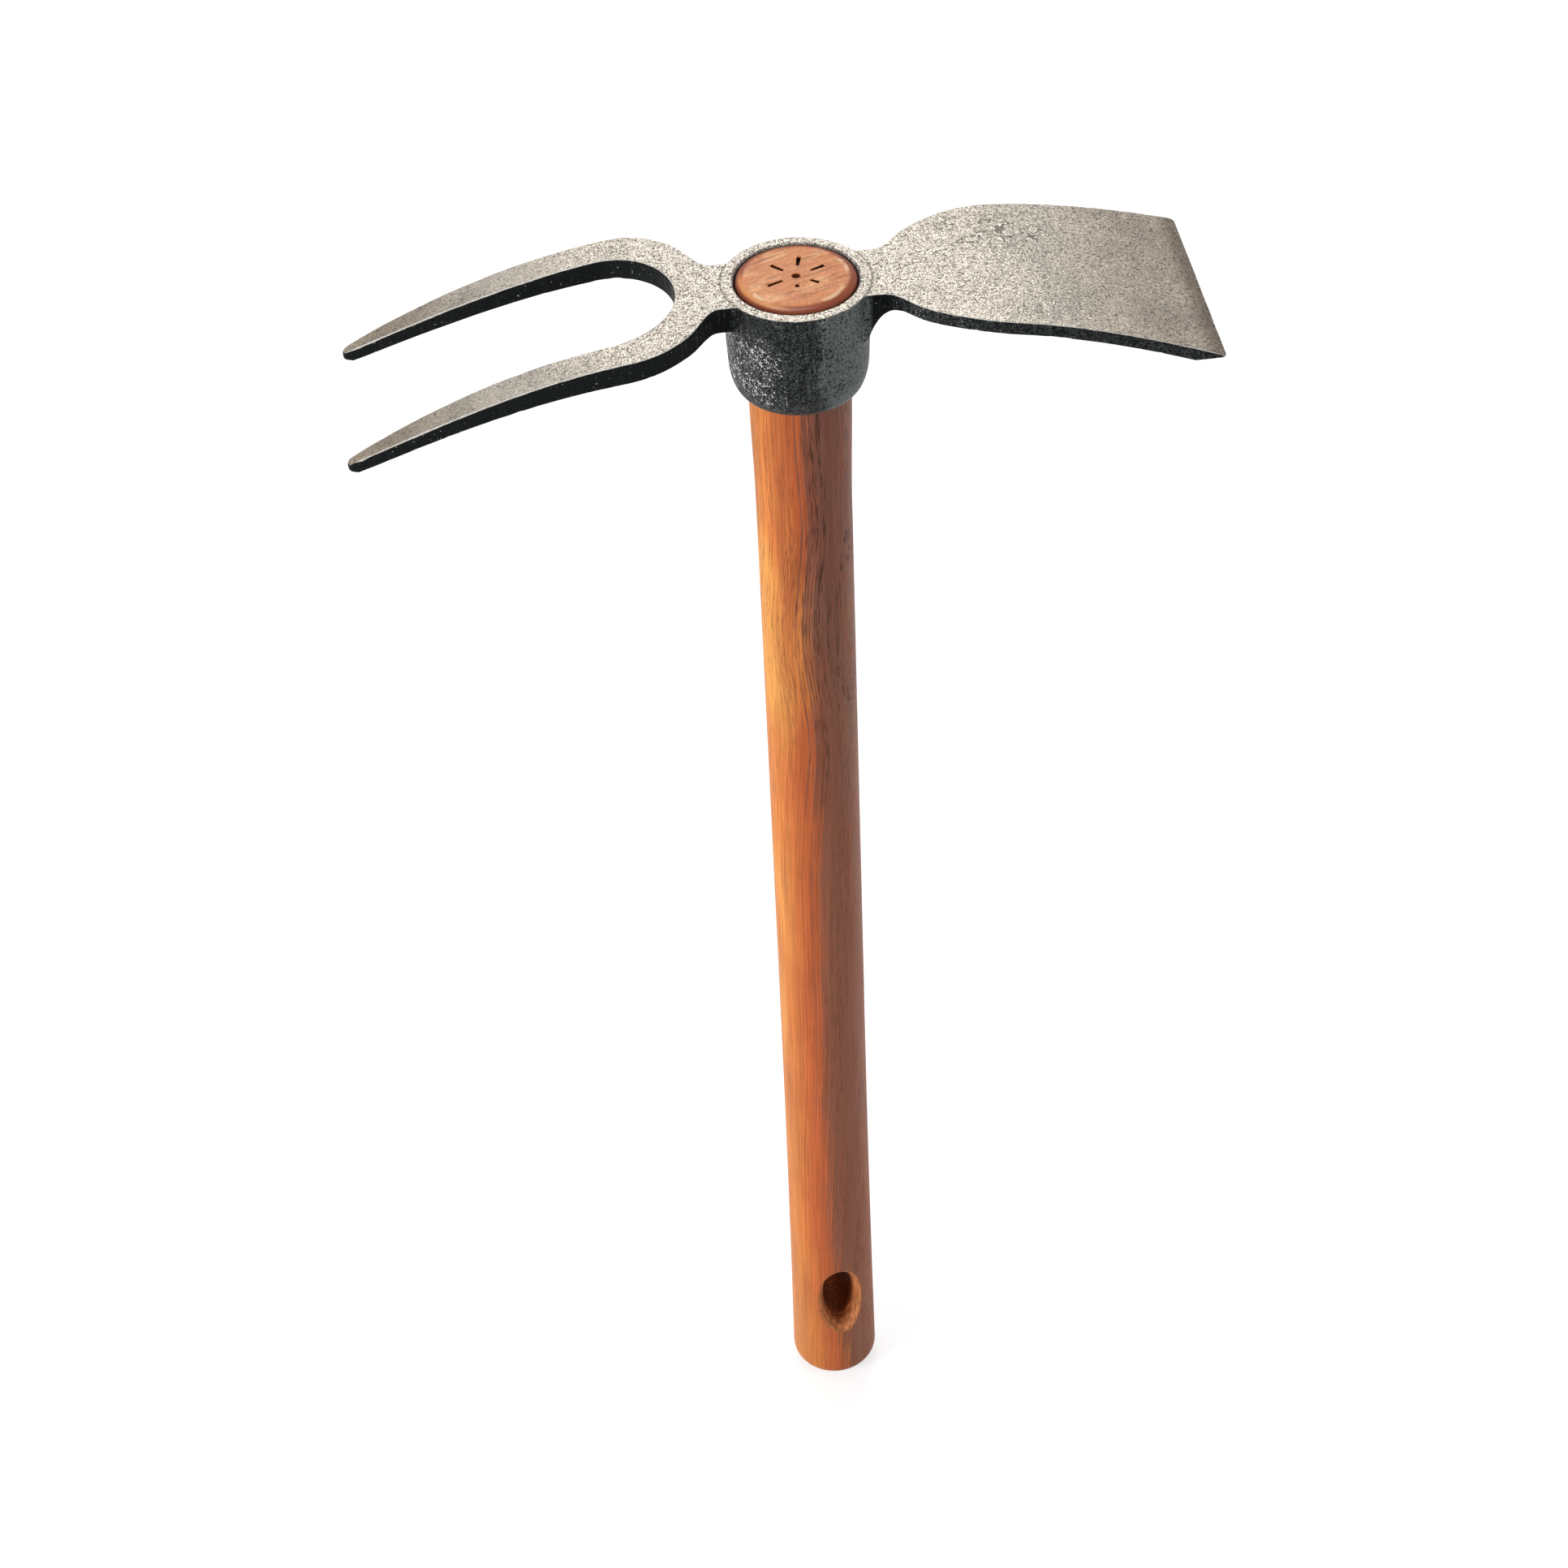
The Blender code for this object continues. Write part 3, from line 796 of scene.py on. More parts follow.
def forkThickness(x):
    look = forkLook
    arm = blend(look["neckThickness"], look["armThickness"], ease((-x - eyeRadius) / look["thinning"]))
    prongStart = look["crotch"] + look["gapWidth"] / 2
    share = max((-x - prongStart) / (look["reach"] - prongStart), 0)
    bevel = min((look["reach"] + x) / look["tipBevel"], 1)
    return blend(look["tipEdge"], blend(arm, look["tipThickness"], share), bevel)


def bladeThickness(x):
    look = bladeLook
    thinned = ease((x - gussetStart - look["gussetRadius"]) / look["gussetRadius"])
    body = gussetThickness(x) + (look["thickness"] - look["neckThickness"]) * thinned
    return blend(look["edgeThickness"], body, min((look["reach"] - x) / look["edgeBevel"], 1))


def plateThickness(x):
    if x < -gussetStart:
        return forkThickness(x)
    if x > gussetStart:
        return bladeThickness(x)
    share = (x + gussetStart) / (2 * gussetStart)
    return blend(forkThickness(-gussetStart), bladeThickness(gussetStart), share)


def topHeight(x):
    # the plate's top, with the cutting edge rolled down a little
    run = max(x - bladeLook["reach"] + bladeLook["rollLength"], 0) / bladeLook["rollLength"]
    return plateHeight(x) - bladeLook["rollOff"] * run ** 2


def bottomHeight(x):
    return topHeight(x) - plateThickness(x)


def insideSpacing(ring):
    # points on a triangular grid inside the ring of boundary points, clear of the ring itself
    spacing = plateLook["spacing"]
    clear = 0.75 * spacing
    blocks = 40  # the grid goes through in as many parts, to save memory
    edge = np.array(ring)
    low, high = edge.min(0), edge.max(0)
    rows = []
    for i, y in enumerate(np.arange(low[1], high[1], spacing * sqrt(3) / 2)):
        xs = np.arange(low[0] + i % 2 * spacing / 2, high[0], spacing)
        rows.append(np.column_stack((xs, np.full(len(xs), y))))
    start, end = edge, np.roll(edge, -1, 0)
    kept = []
    for block in np.array_split(np.concatenate(rows), blocks):
        x, y = block[:, :1], block[:, 1:]
        crosses = (start[:, 1] > y) != (end[:, 1] > y)
        rise = np.where(crosses, end[:, 1] - start[:, 1], 1)
        at = start[:, 0] + (y - start[:, 1]) / rise * (end[:, 0] - start[:, 0])
        inside = (crosses & (x < at)).sum(1) % 2 == 1
        gap = np.hypot(x - start[:, 0], y - start[:, 1]).min(1)
        kept += [Vector(point) for point in block[inside & (gap > clear)]]
    return kept


def makePlate():
    # rounded top edge, wall and rounded bottom edge as rings of points, and a fine net over top and bottom
    look = plateLook
    outline = plateOutline()
    count = len(outline)
    inward = []
    for i in range(count):
        along = (outline[(i + 1) % count] - outline[i - 1]).normalized()
        inward.append(Vector((-along.y, along.x)))

    def edgeRound(i):
        place = (*outline[i], 0)
        wave = wobble(place, look["wobbleSize"]) + look["fineWobble"] * wobble(place, look["fineSize"])
        radius = look["edgeRound"] * (1 + look["edgeWobble"] * wave)
        radius *= blend(1, look["prongRound"], ease((-outline[i].x - look["roundStart"]) / look["roundRun"]))
        return min(radius, look["mostRound"] * plateThickness(outline[i].x))

    def ringPoint(i, turn, fromTop):
        # the point of the rounded edge at that turn, from 0 on the wall to a quarter on the face
        radius = edgeRound(i)
        flat = outline[i] + inward[i] * radius * (1 - cos(turn))
        into = radius * (1 - sin(turn))
        if fromTop:
            return Vector((*flat, topHeight(flat.x) - into))
        return Vector((*flat, bottomHeight(flat.x) + into))

    shape = bmesh.new()
    turns = quarterTurn(look["roundSteps"])
    rings = [[ringPoint(i, turn, True) for i in range(count)] for turn in reversed(turns)]
    under = [[ringPoint(i, turn, False) for i in range(count)] for turn in turns]
    for k in range(1, look["wallSteps"]):
        rings.append([a.lerp(b, k / look["wallSteps"]) for a, b in zip(rings[look["roundSteps"]], under[0])])
    rings += under
    rings = [[shape.verts.new(point) for point in ring] for ring in rings]
    for upper, lower in zip(rings, rings[1:]):
        for i in range(count):
            shape.faces.new((upper[i - 1], lower[i - 1], lower[i], upper[i]))

    border = [Vector(vert.co[:2]) for vert in rings[0]]
    inside, tolerance = 1, 1e-7
    net = delaunay_2d_cdt(border + insideSpacing(border), [], [list(range(count))], inside, tolerance)
    flat, _, faces, origins, _, _ = net
    for ring, isTop in ((rings[0], True), (rings[-1], False)):
        verts = []
        for point, origin in zip(flat, origins):
            if origin and origin[0] < count:
                verts.append(ring[origin[0]])
            else:
                z = topHeight(point.x) if isTop else bottomHeight(point.x)
                verts.append(shape.verts.new((*point, z)))
        for face in faces:
            corners = [verts[index] for index in face]
            shape.faces.new(corners if isTop else corners[::-1])
    return pieceFrom("forgedHead", shape)


def makeReliefTree():
    # hammered waves and scattered shallow dents
    tree, given, out = newTree("forgedRelief", "GeometryNodeTree", [
        ("Geometry", "Geometry", None), ("Wave Depth", "Float", 0.0002), ("Wave Size", "Float", 0.01),
        ("Dent Depth", "Float", 0.0001), ("Dent Size", "Float", 0.003), ("Bore Radius", "Float", 0.019),
        ("Seed", "Float", 0.0), ("Finish", "Material", None),
    ], [("Geometry", "Geometry")])
    fadeWidth = 0.0015
    here = addNode(tree, "GeometryNodeInputPosition").outputs[0]
    seed = given["Seed"]
    wave = times(minus(seededNoise(here, seed, given["Wave Size"]), 0.9), given["Wave Depth"])
    patch = ramp(seededNoise(here, seed, times(given["Dent Size"], 5), 1), 0.48, 0.62)
    dent = ramp(seededNoise(here, seed, given["Dent Size"], 1), 0.52, 0.7)
    dent = times(dent, patch, given["Dent Depth"])
    x, y, _ = partsOf(here)
    bore = given["Bore Radius"]
    free = ramp(lengthOf(vectorOf(x, y)), bore, plus(bore, fadeWidth))  # the bore keeps its fit
    return finishShape(given["Geometry"], times(minus(wave, dent), free), given, out)


def makeHead(finish):
    look = plateLook
    head = makePlate()
    boolean(head, spin("eyeBody", eyeProfile(), eyeLook, finish), "UNION")
    boolean(head, spin("boreCutter", boreProfile(), eyeLook, finish), "DIFFERENCE")
    seamTop = plateTop - look["seamBelow"]
    inner, outer = look["seamBand"]
    softenCreases(head.data, look["seamAngle"], look["seamRepeats"],
                  lambda point: point.z < seamTop and inner < hypot(point.x, point.y) < outer)
    runTree(head, makeReliefTree(), {**reliefLook, "boreRadius": boreTop + reliefLook["boreMargin"]}, finish)
    worn = edgeMask(head.data, look["wornAngles"], 0)
    for vert in head.data.vertices:
        if vert.co.z < topHeight(vert.co.x) - look["wornDepth"] * plateThickness(vert.co.x):
            worn[vert.index] *= look["wornUnder"]
    setMask(head.data, "wornEdge", worn)
    smoothShade(head.data, look["sharpAngle"])
    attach(head, "root")
    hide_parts("hoe_head")
    return head


# Finishes

def makeEdgeWear():
    # where handling has rubbed an edge, broken up by noise
    tree, given, out = newTree("edgeWear", "ShaderNodeTree", [
        ("Vector", "Vector", None), ("Breakup", "Float", 400.0), ("Amount", "Float", 0.5),
    ], [("Mask", "Float")])
    edge = addNode(tree, "ShaderNodeAttribute", attribute_name="wornEdge").outputs["Fac"]
    broken = noiseNode(given["Vector"], given["Breakup"], 3, 0.6)
    threshold = minus(1, given["Amount"])
    softness = 0.35
    mask = ramp(plus(edge, minus(broken, 0.5)), threshold, plus(threshold, softness))
    tree.links.new(mask, out.inputs[0])
    return tree


def wornMask(vector, breakup, amount):
    values = {"Vector": vector, "Breakup": breakup, "Amount": amount}
    return joined("ShaderNodeGroup", values, node_tree=edgeWear)


def makeFineGrain():
    # a fine surface grain at two sizes: its height, and a mask of small pits
    tree, given, out = newTree("fineGrain", "ShaderNodeTree", [
        ("Vector", "Vector", None), ("Scale", "Float", 1000.0), ("Pit Scale", "Float", 500.0),
        ("Pit Share", "Float", 0.36),
    ], [("Height", "Float"), ("Pits", "Float")])
    fine = noiseNode(given["Vector"], given["Scale"], 3, 0.6)
    coarse = noiseNode(given["Vector"], given["Pit Scale"], 2, 0.55)
    softness, depth = 0.07, 0.5
    pits = minus(1, ramp(coarse, given["Pit Share"], plus(given["Pit Share"], softness)))
    tree.links.new(minus(fine, times(pits, depth)), out.inputs[0])
    tree.links.new(pits, out.inputs[1])
    return tree


def grainAndPits(vector, scale, pitScale, pitShare):
    values = {"Vector": vector, "Scale": scale, "Pit Scale": pitScale, "Pit Share": pitShare}
    return addNode(vector.id_data, "ShaderNodeGroup", values, node_tree=fineGrain).outputs


def newMaterial(name):
    material = bpy.data.materials.new(name)
    material.use_nodes = True
    return material, material.node_tree, material.node_tree.nodes["Principled BSDF"]


def bumpFrom(height, look):
    values = {"Strength": look["bumpStrength"], "Distance": look["bumpDepth"], "Height": height}
    return joined("ShaderNodeBump", values)


def surfaceInputs(tree):
    # the point, its parts, how far it is from the handle's axis, and how far the surface faces up
    coordinates = addNode(tree, "ShaderNodeTexCoord").outputs
    x, y, z = partsOf(coordinates["Object"])
    return coordinates["Object"], x, y, z, lengthOf(vectorOf(x, y)), partsOf(coordinates["Normal"])["Z"]


steelLook = {
    "paleDark": (0.42, 0.375, 0.315, 1),
    "paleLight": (0.8, 0.735, 0.64, 1),
    "pit": (0.13, 0.11, 0.09, 1),
    "scaleDark": (0.008, 0.01, 0.01, 1),
    "scaleLight": (0.135, 0.145, 0.145, 1),
    "bareBright": (0.92, 0.9, 0.85, 1),
    "rubbed": (0.9, 0.9, 0.87, 1),
    "mouthGrime": (0.13, 0.098, 0.074, 1),
    "tints": [
        # x where it starts, x where it is full, colour: paler prongs, their tips darker, the blade's far
        # part darker and its cutting edge darker; the tips and far part are painted shade where the arms
        # bend down from the light
        (-0.045, -0.065, (1.12, 1.12, 1.12, 1)),
        (-0.085, -0.13, (0.8, 0.745, 0.685, 1)),
        (0.07, 0.1, (0.99, 0.955, 0.925, 1)),
        (bladeLook["reach"] - 0.008, bladeLook["reach"] - 0.002, (0.594, 0.559, 0.531, 1)),
    ],
    "grain": (1500, 950, 0.34),  # scale of the grain, scale of the pits, share of pits
    "scribedRadius": 0.0226,    # the circle scratched round the eye
    "scribedWidth": 0.00016,
    "scarPlace": (0.061, 0.0185, 0.496),
    "scarReach": 0.024,
    "wallInner": 0.0232,        # the eye's own wall ends between these distances from the axis
    "wallOuter": 0.0245,
    "bumpStrength": 0.75,
    "bumpDepth": 0.00022,
}


def makeSteel():
    look = steelLook
    material, tree, shader = newMaterial("forgedSteel")
    here, x, _, z, away, facing = surfaceInputs(tree)
    grain, pits = grainAndPits(here, *look["grain"])
    # rubbed most beside the prongs' tips
    besideTips = times(ramp(x, -0.06, -0.11, 0.4, 0.85), ramp(x, -0.1315, -0.1345, 1, 0.35))
    wear = wornMask(here, 500, besideTips)
    mottle = noiseNode(here, 70, 4, 0.6)
    worms = ramp(apart(noiseNode(here, 1250, 1), 0.5), 0.06, 0)  # a net of fine dark wrinkles

    # pale on top, black on the walls and underside: a blasted top over black scale, and also painted light
    # on the top faces and painted shade on the walls and underside, for lamps from above
    top = ramp(plus(facing, swing(noiseNode(here, 700, 3), 0.5)), 0.45, 0.7)
    height = ramp(grain, 0.26, 0.7)
    pale = mix(height, look["paleDark"], look["paleLight"])
    pale = shaded(pale, mottle, 0.3, 0.7, 0.88, 1.06)
    pitted = times(pits, ramp(away, 0.05, 0.028, 0.35, 0.62))
    pale = mix(pitted, pale, look["pit"])
    pale = mix(times(worms, 0.2), pale, look["pit"])
    # among the tints, painted shade on the prongs' tips and the blade's far part
    for start, full, tint in look["tints"]:
        pale = mix(ramp(x, start, full), pale, tint, "MULTIPLY")
    coarser = ramp(x, 0.07, 0.095, 0, 0.75)  # the blade's far part is less rubbed
    pale = shaded(pale, height, 0, 1, 0.8, 1.18, coarser)
    scribed = ramp(apart(away, look["scribedRadius"]), look["scribedWidth"], look["scribedWidth"] / 2)
    scribed = times(scribed, ramp(noiseNode(here, 320), 0.35, 0.5))
    pale = mix(times(scribed, 0.75), pale, look["pit"])

    # a patch of torn, wrinkled skin on the blade, its swellings painted lighter as painted highlight and its
    # creases darker as painted shade
    fromScar = vectorNode("MULTIPLY", vectorNode("SUBTRACT", here, look["scarPlace"]), (1, 1.8, 0))
    nearScar = ramp(lengthOf(fromScar), look["scarReach"], look["scarReach"] * 0.55)
    wrinkled = vectorNode("MULTIPLY", here, (140, 330, 0))
    folds = {"Vector": vectorNode("ADD", wrinkled, driftNode(here, (260, 260, 260), 2, 1.5)), "Scale": 1.0}
    folds = joined("ShaderNodeTexVoronoi", folds, "Distance", feature="DISTANCE_TO_EDGE")
    patchy = times(ramp(noiseNode(here, 170), 0.44, 0.52), nearScar)
    swelling = times(ramp(folds, 0.28, 0.12), patchy)
    crease = times(ramp(folds, 0.085, 0.035), patchy)
    # painted highlight on the swellings and painted shade in the creases
    pale = mix(times(swelling, 0.9), pale, look["paleLight"])
    pale = mix(times(crease, 0.85), pale, look["pit"])

    # the walls keep their black scale, partly painted shade: streaks down the plate, smooth on the right of
    # the eye and pebbled on its left; the eye is painted lighter on its right as painted light, and bright
    # painted glints sit on the pebbles' high points
    onEye = ramp(away, look["wallOuter"], look["wallInner"])
    streaks = ramp(noiseNode(here, (900, 900, 81), 2, 0.7), 0.48, 0.8)
    streaks = times(streaks, ramp(away, 0.05, 0.03, 0.07, 0.5))
    onBlade = times(ramp(x, 0.026, 0.034, 0.04, 0.82), ramp(x, 0.052, 0.074, 1, 0.8))
    streaks = plus(streaks, times(onBlade, ramp(grain, 0.4, 0.75)))
    walls = mix(streaks, look["scaleDark"], look["scaleLight"])
    across = plus(x, swing(mottle, 0.016))
    smoothSide = ramp(across, 0.0015, 0.008)
    fine = ramp(grain, between(smoothSide, 0.44, 0.24), between(smoothSide, 0.6, 0.66))
    skin = plus(fine, times(streaks, between(smoothSide, 1.9, 0.7)))
    # painted light and shade: the skin darker on the eye's left and middle, lighter on its right
    skin = mix(times(skin, between(smoothSide, 0.45, 1.2)), look["scaleDark"], look["scaleLight"])
    lower = times(ramp(z, headTop - 0.006, headTop - 0.014, 0.35, 1),
                  ramp(z, eyeFoot + 0.002, eyeFoot + 0.01, 0.55, 1))
    patches = ramp(mottle, 0.36, 0.56, 0.62, 1.05)
    pebbled = times(ramp(across, 0.002, -0.014), onEye, lower, patches)
    bladeRoot = times(ramp(x, 0.026, 0.03), ramp(across, 0.058, 0.042), 0.35)
    pebbled = times(larger(pebbled, bladeRoot), ramp(top, 0.4, 0))
    pebbles = noiseNode(here, 700, 3, 0.7)
    points = plus(times(noiseNode(here, 2100, 2, 0.6), 0.6), times(pebbles, 0.4))
    # painted glints: bright specks on the pebbles' high points and a few on the walls, where the lamps would
    # sparkle
    rubbed = ramp(minus(points, between(pebbled, 0.64, 0.53)), 0.004, 0.042)
    scale = mix(onEye, walls, skin)
    scale = mix(times(rubbed, 0.95), scale, look["rubbed"])

    colour = mix(top, scale, pale)
    # worn edges painted near white: bare metal where rubbed, and also a painted highlight along the edges
    colour = mix(times(wear, 0.8), colour, look["bareBright"])
    speckle = times(minus(grain, 0.45), 0.004)
    # painted shade: darker and speckled towards the mouth of the bore
    atMouth = ramp(plus(away, speckle), 0.0196, 0.0188)
    colour = mix(times(atMouth, 0.75), colour, look["mouthGrime"])
    roughness = plus(between(top, 0.45, 0.39), swing(mottle, 0.2))
    metallic = larger(between(top, 0, 0.9), times(onEye, between(smoothSide, 0.35, 0.6)))
    metallic = times(metallic, between(larger(rubbed, wear), 1, 0.2))
    raised = plus(grain, times(pebbles, pebbled, 4), times(swelling, 0.9))
    relief = minus(raised, times(crease, 1.8), scribed, worms)
    setSockets(shader, {
        "Base Color": colour, "Roughness": roughness, "Metallic": metallic, "Normal": bumpFrom(relief, look),
        "Specular IOR Level": 0.04,
    })
    return material


woodLook = {
    "early": (0.6, 0.135, 0.038, 1),
    "late": (0.26, 0.052, 0.016, 1),
    "honey": (0.72, 0.24, 0.05, 1),
    "gold": (0.9, 0.385, 0.085, 1),
    "heart": (0.205, 0.09, 0.064, 1),
    "heartWorn": (0.26, 0.104, 0.062, 1),
    "mouth": (0.15, 0.048, 0.022, 1),
    "pore": (0.07, 0.022, 0.01, 1),
    "endGrain": (0.84, 0.315, 0.118, 1),
    "endPale": (0.98, 0.48, 0.215, 1),
    "endRubbed": (0.98, 0.64, 0.38, 1),
    "endLine": (0.33, 0.08, 0.03, 1),
    "endTurn": -0.35,           # radians from X to the end grain's lines
    "crownStain": (0.36, 0.082, 0.032, 1),
    "crownGold": (0.92, 0.4, 0.13, 1),
    "crownInner": 0.015,
    "crownOuter": 0.0164,
    "ridgeRadius": 0.0153,      # rubbed pale along the turn of the crown, and a painted highlight there
    "cutShallow": (0.58, 0.215, 0.082, 1),
    "cutDeep": (0.19, 0.038, 0.008, 1),
    "grime": (0.035, 0.013, 0.007, 1),
    "ringSpacing": 0.00135,
    "pith": (0.04, -0.034),
    "lean": (-0.018, 0.012),
    "drifts": [
        # stretch and depth: slow waves, then small ripples
        ((13, 13, 4), 0.02),
        ((60, 60, 14), 0.0022),
    ],
    "swerveHeight": 0.372,      # where the grain bends aside
    "swerveReach": 0.05,
    "swerveDepth": 0.0042,
    "goldHeight": 0.362,        # a pale patch on the sunny side: painted highlight
    "goldReach": 0.066,
    "grain": (1800, 1200, 0.3),
    "bumpStrength": 0.35,
    "bumpDepth": 0.00008,
}


def makeWood():
    look = woodLook
    material, tree, shader = newMaterial("stainedWood")
    here, x, y, z, away, facing = surfaceInputs(tree)

    # growth rings round a pith that leans away behind the handle
    shifted = here
    for stretch, depth in look["drifts"]:
        shifted = vectorNode("ADD", shifted, driftNode(here, stretch, 1, depth))
    swerve = ramp(apart(z, look["swerveHeight"]), look["swerveReach"], 0, 0, look["swerveDepth"])
    warped = partsOf(vectorNode("ADD", shifted, vectorOf(swerve, times(swerve, -0.6))))
    sides = [minus(plus(warped[axis], times(warped["Z"], lean)), pith)
             for axis, pith, lean in zip("XY", look["pith"], look["lean"])]
    radius = lengthOf(vectorOf(*sides))
    years = joined("ShaderNodeTexNoise", {"W": times(radius, 250), "Detail": 3}, noise_dimensions="1D")
    phase = plus(mathNode("DIVIDE", radius, look["ringSpacing"]), times(years, 4))  # some years grow wider
    phase = mathNode("FRACT", phase)
    late = times(ramp(phase, 0.35, 0.9), ramp(phase, 1, 0.93))

    fibre = noiseNode(here, (1500, 1500, 30), 3, 0.6)
    broad = noiseNode(here, (110, 110, 9), 3, 0.55)
    tone = noiseNode(here, (45, 45, 8))
    inRing = vectorOf(radius, y, z)
    column = noiseNode(inRing, (620, 120, 11), 1)
    polished = ramp(z, 0.4, 0.25)  # hands have filled the grain of the grip
    pores = times(ramp(noiseNode(inRing, (3300, 1600, 150), 1, 0.4), 0.51, 0.6),
                  ramp(column, 0.42, 0.56, 0.15, 1), between(polished, 1, 0.3))

    # pale outer wood on one side, dark heartwood on the other, with a wandering border between; the darker
    # right side and lighter honey left are also painted shade and painted light of the lamp on the left
    wander = swing(noiseNode(here, (0, 0, 22), 3, 0.6), 0.012)
    frayed = plus(swing(years, 0.013), swing(broad, 0.004))
    border = minus(plus(x, wander, frayed), ramp(z, 0.06, 0, 0, 0.0045))
    heart = times(ramp(border, -0.005, 0.0012), ramp(border, 0.01, 0.0165, 1, 0.8))
    nearHeart = ramp(border, -0.015, -0.0055)

    colour = mix(nearHeart, look["honey"], look["early"])
    # golden patches of the wood's own tone, pushed round goldHeight on the lit left as a painted highlight
    sunny = ramp(apart(z, look["goldHeight"]), look["goldReach"], look["goldReach"] * 0.1, -0.06, 0.2)
    golden = times(ramp(plus(tone, sunny), 0.48, 0.68), between(nearHeart, 0.9, 0.45))
    colour = mix(golden, colour, look["gold"])
    colour = shaded(colour, broad, 0.3, 0.7, 0.88, 1.12)
    heartColour = mix(polished, look["heart"], look["heartWorn"])
    # painted shade: the right side darkened, with the heartwood's own colour
    colour = mix(times(heart, 0.92), colour, heartColour)
    drawn = ramp(noiseNode(here, (220, 220, 28)), 0.38, 0.66, 0.06, 0.62)
    colour = mix(times(late, drawn), colour, look["late"])
    colour = shaded(colour, fibre, 0.3, 0.7, between(polished, 0.8, 0.91), 1.1)
    colour = mix(times(pores, between(heart, 0.42, 0.92)), colour, look["pore"])

    # dark inside the hanging hole, and darker deeper in: painted shade
    cut = addNode(tree, "ShaderNodeAttribute", attribute_name="cutDepth").outputs["Fac"]
    bare = mix(ramp(cut, 0.1, 0.75), look["cutShallow"], look["cutDeep"])
    bare = shaded(bare, noiseNode(here, (900, 700, 90)), 0.3, 0.7, 0.62, 1.22)
    colour = mix(ramp(cut, 0.01, 0.05), colour, bare)

    # the end grain in the eye, with a stained crown round it that is painted gold at the left front as
    # painted light from the lamp on the left
    turned = {"Vector": here, "Angle": look["endTurn"]}
    turned = joined("ShaderNodeVectorRotate", turned, rotation_type="Z_AXIS")
    drawnOut = vectorNode("MULTIPLY", turned, (75, 900, 60))
    flame = joined("ShaderNodeTexNoise", {"Vector": drawnOut, "Scale": 1, "Detail": 4, "Distortion": 0.4})
    blotch = noiseNode(turned, (110, 200, 60))
    endColour = mix(ramp(blotch, 0.5, 0.64), look["endGrain"], look["endPale"])
    lines = times(ramp(flame, 0.46, 0.66), ramp(noiseNode(turned, (70, 170, 60)), 0.42, 0.6, 0.25, 0.8))
    endColour = mix(lines, endColour, look["endLine"])
    endColour = shaded(endColour, noiseNode(here, 1100, 3, 0.6), 0.3, 0.7, 0.8, 1.12)
    leftFront = plus(times(x, -0.87), times(y, -0.5))
    litLeftFront = times(ramp(leftFront, 0.01, 0.0155), ramp(away, 0.0176, 0.0166), 0.8)
    crown = ramp(away, look["crownInner"], look["crownOuter"])
    endColour = mix(crown, endColour, mix(litLeftFront, look["crownStain"], look["crownGold"]))
    # the ridge rubbed pale, and a painted highlight along it
    ridge = times(ramp(apart(away, look["ridgeRadius"]), 0.001, 0.0003),
                  ramp(noiseNode(here, 130, 3, 0.6), 0.5, 0.6), 0.85)
    endColour = mix(ridge, endColour, look["endRubbed"])
    onEnd = ramp(z, headTop - 0.002, headTop - 0.0015)
    colour = mix(onEnd, colour, endColour)

    # painted shade: dark again down in the eye and in the centre marks
    inner, outer = centreMarks["outer"], centreMarks["outer"] + 0.001
    inHead = mathNode("GREATER_THAN", z, eyeFoot)
    shadeInEye = times(ramp(z, headTop - 0.0004, headTop - 0.0012), ramp(away, inner, outer), inHead)
    inMark = ramp(z, handleTop - 0.0001, handleTop - 0.0005)
    inMark = times(inMark, mathNode("LESS_THAN", away, outer), inHead)
    colour = mix(shadeInEye, colour, look["mouth"])
    colour = mix(inMark, colour, look["grime"])
    wear = wornMask(here, 260, 0.4)
    colour = mix(times(wear, 0.35), colour, look["honey"])

    grain, _ = grainAndPits(vectorNode("MULTIPLY", here, (1, 1, 0.05)), *look["grain"])
    relief = minus(grain, times(pores, 0.8))
    bareCut = ramp(cut, 0, 0.05)
    roughness = plus(ramp(broad, 0.3, 0.7, 0.46, 0.58), times(bareCut, 0.35))
    oiled = times(ramp(fibre, 0.3, 0.7, 0.04, 0.12), between(heart, 1, 0.3))
    glossyCrown = times(onEnd, ramp(facing, 0.98, 0.9, 0.12, 0.8))
    coat = times(plus(oiled, glossyCrown), minus(1, larger(bareCut, inMark, shadeInEye)))
    setSockets(shader, {
        "Base Color": colour, "Roughness": roughness, "Normal": bumpFrom(relief, look),
        "Coat Weight": coat, "Coat Roughness": 0.22, "Specular IOR Level": 0.15,
    })
    return material


# Studio

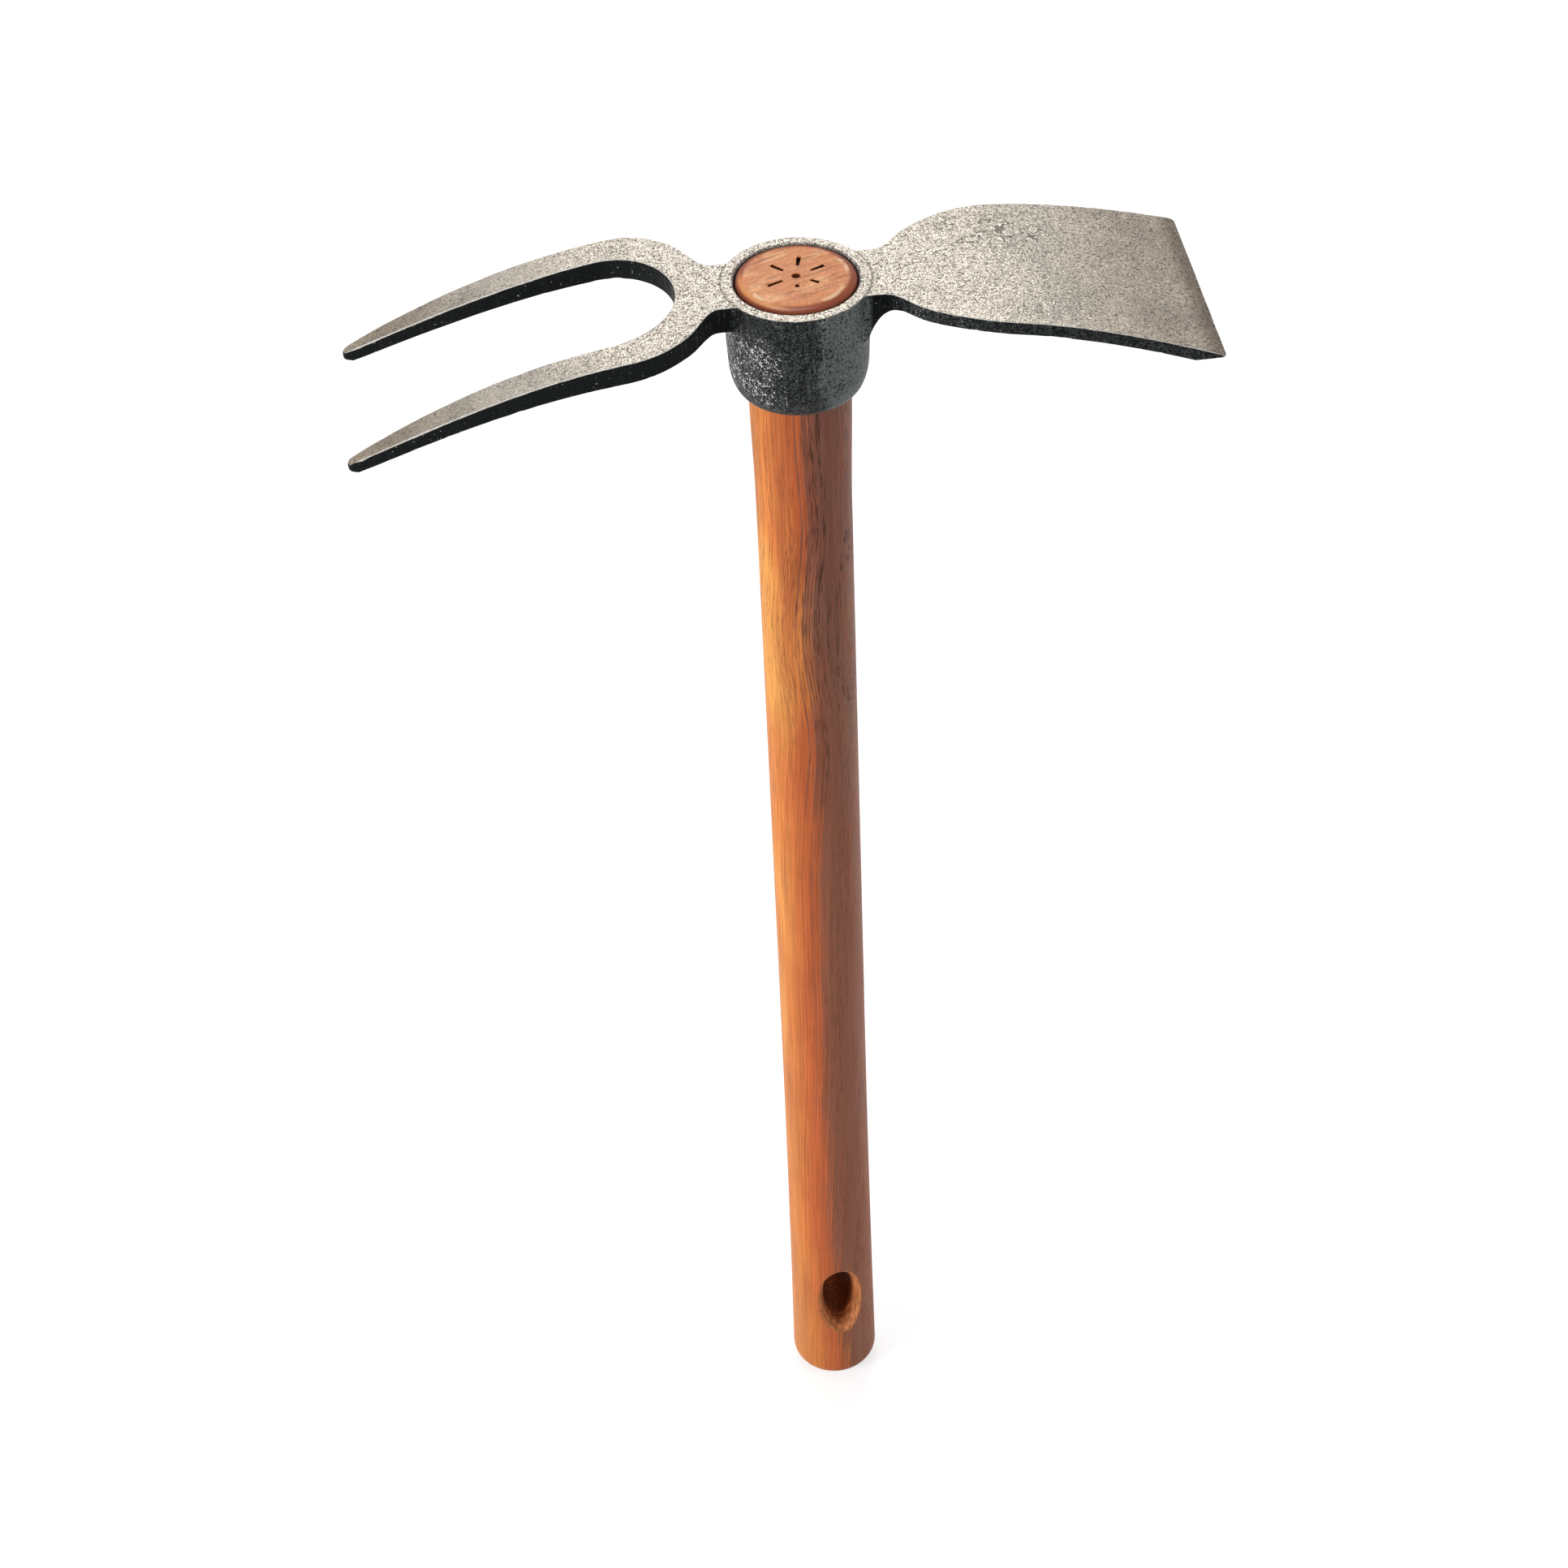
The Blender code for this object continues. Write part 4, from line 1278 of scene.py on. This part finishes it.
studioLook = {
    "worldLevel": 0.28,
    "floorColour": (0.5, 0.5, 0.5, 1),
    "floorGlow": 0.68,          # what the camera and reflections see besides the lit floor
    "floorSize": 12.0,
    "floorBelow": 0.0003,       # clear of the handle's end
    "lamps": [
        # name, place, aimed at, size, watts
        ("backSoftbox", (0.16, 1.45, 1.55), (0, 0, 0.45), 1.1, 11.5),
        ("overhead", (-0.15, 0.25, 2.05), (0, 0, 0.4), 0.9, 8.0),
        ("leftKey", (-1.38, -0.62, 0.5), (0, 0, 0.33), 0.5, 18.0),
        ("rightFill", (1.4, -0.7, 0.5), (0, 0, 0.35), 0.8, 8.0),
    ],
}


def makeStudio():
    look = studioLook
    scene = bpy.context.scene
    scene.view_settings.view_transform = "Standard"
    scene.world = bpy.data.worlds.new("studioWorld")
    scene.world.use_nodes = True
    background = scene.world.node_tree.nodes["Background"]
    setSockets(background, {"Color": (1, 1, 1, 1), "Strength": look["worldLevel"]})

    for name, place, aim, size, watts in look["lamps"]:
        lamp = bpy.data.lights.new(name, "AREA")
        lamp.size = size
        lamp.energy = watts
        holder = newPiece(name, lamp)
        holder.location = place
        holder.rotation_euler = (Vector(aim) - Vector(place)).to_track_quat("-Z", "Y").to_euler()

    shape = bmesh.new()
    bmesh.ops.create_grid(shape, x_segments=4, y_segments=4, size=look["floorSize"] / 2)
    bmesh.ops.translate(shape, verts=shape.verts, vec=(0, 0, gripEnd - look["floorBelow"]))
    floor = pieceFrom("studioFloor", shape)
    material, tree, shader = newMaterial("paleFloor")
    setSockets(shader, {"Base Color": look["floorColour"], "Roughness": 0.9, "Specular IOR Level": 0.0})
    lit = addNode(tree, "ShaderNodeBsdfDiffuse", {"Color": look["floorColour"]})
    glow = addNode(tree, "ShaderNodeEmission", {"Strength": look["floorGlow"]})
    seen = joined("ShaderNodeAddShader", {0: lit.outputs[0], 1: glow.outputs[0]})
    rays = addNode(tree, "ShaderNodeLightPath").outputs
    ray = larger(rays["Is Camera Ray"], rays["Is Glossy Ray"], rays["Is Transmission Ray"])
    both = joined("ShaderNodeMixShader", {0: ray, 1: shader.outputs[0], 2: seen})
    tree.links.new(both, tree.nodes["Material Output"].inputs["Surface"])
    floor.data.materials.append(material)


makeCamera()
print("camera placed")
turningTree = makeTurningTree()
edgeWear = makeEdgeWear()
fineGrain = makeFineGrain()
makeHandle(makeWood())
print("handle turned")
makeHead(makeSteel())
print("head forged")
makeStudio()
print("studio lit")
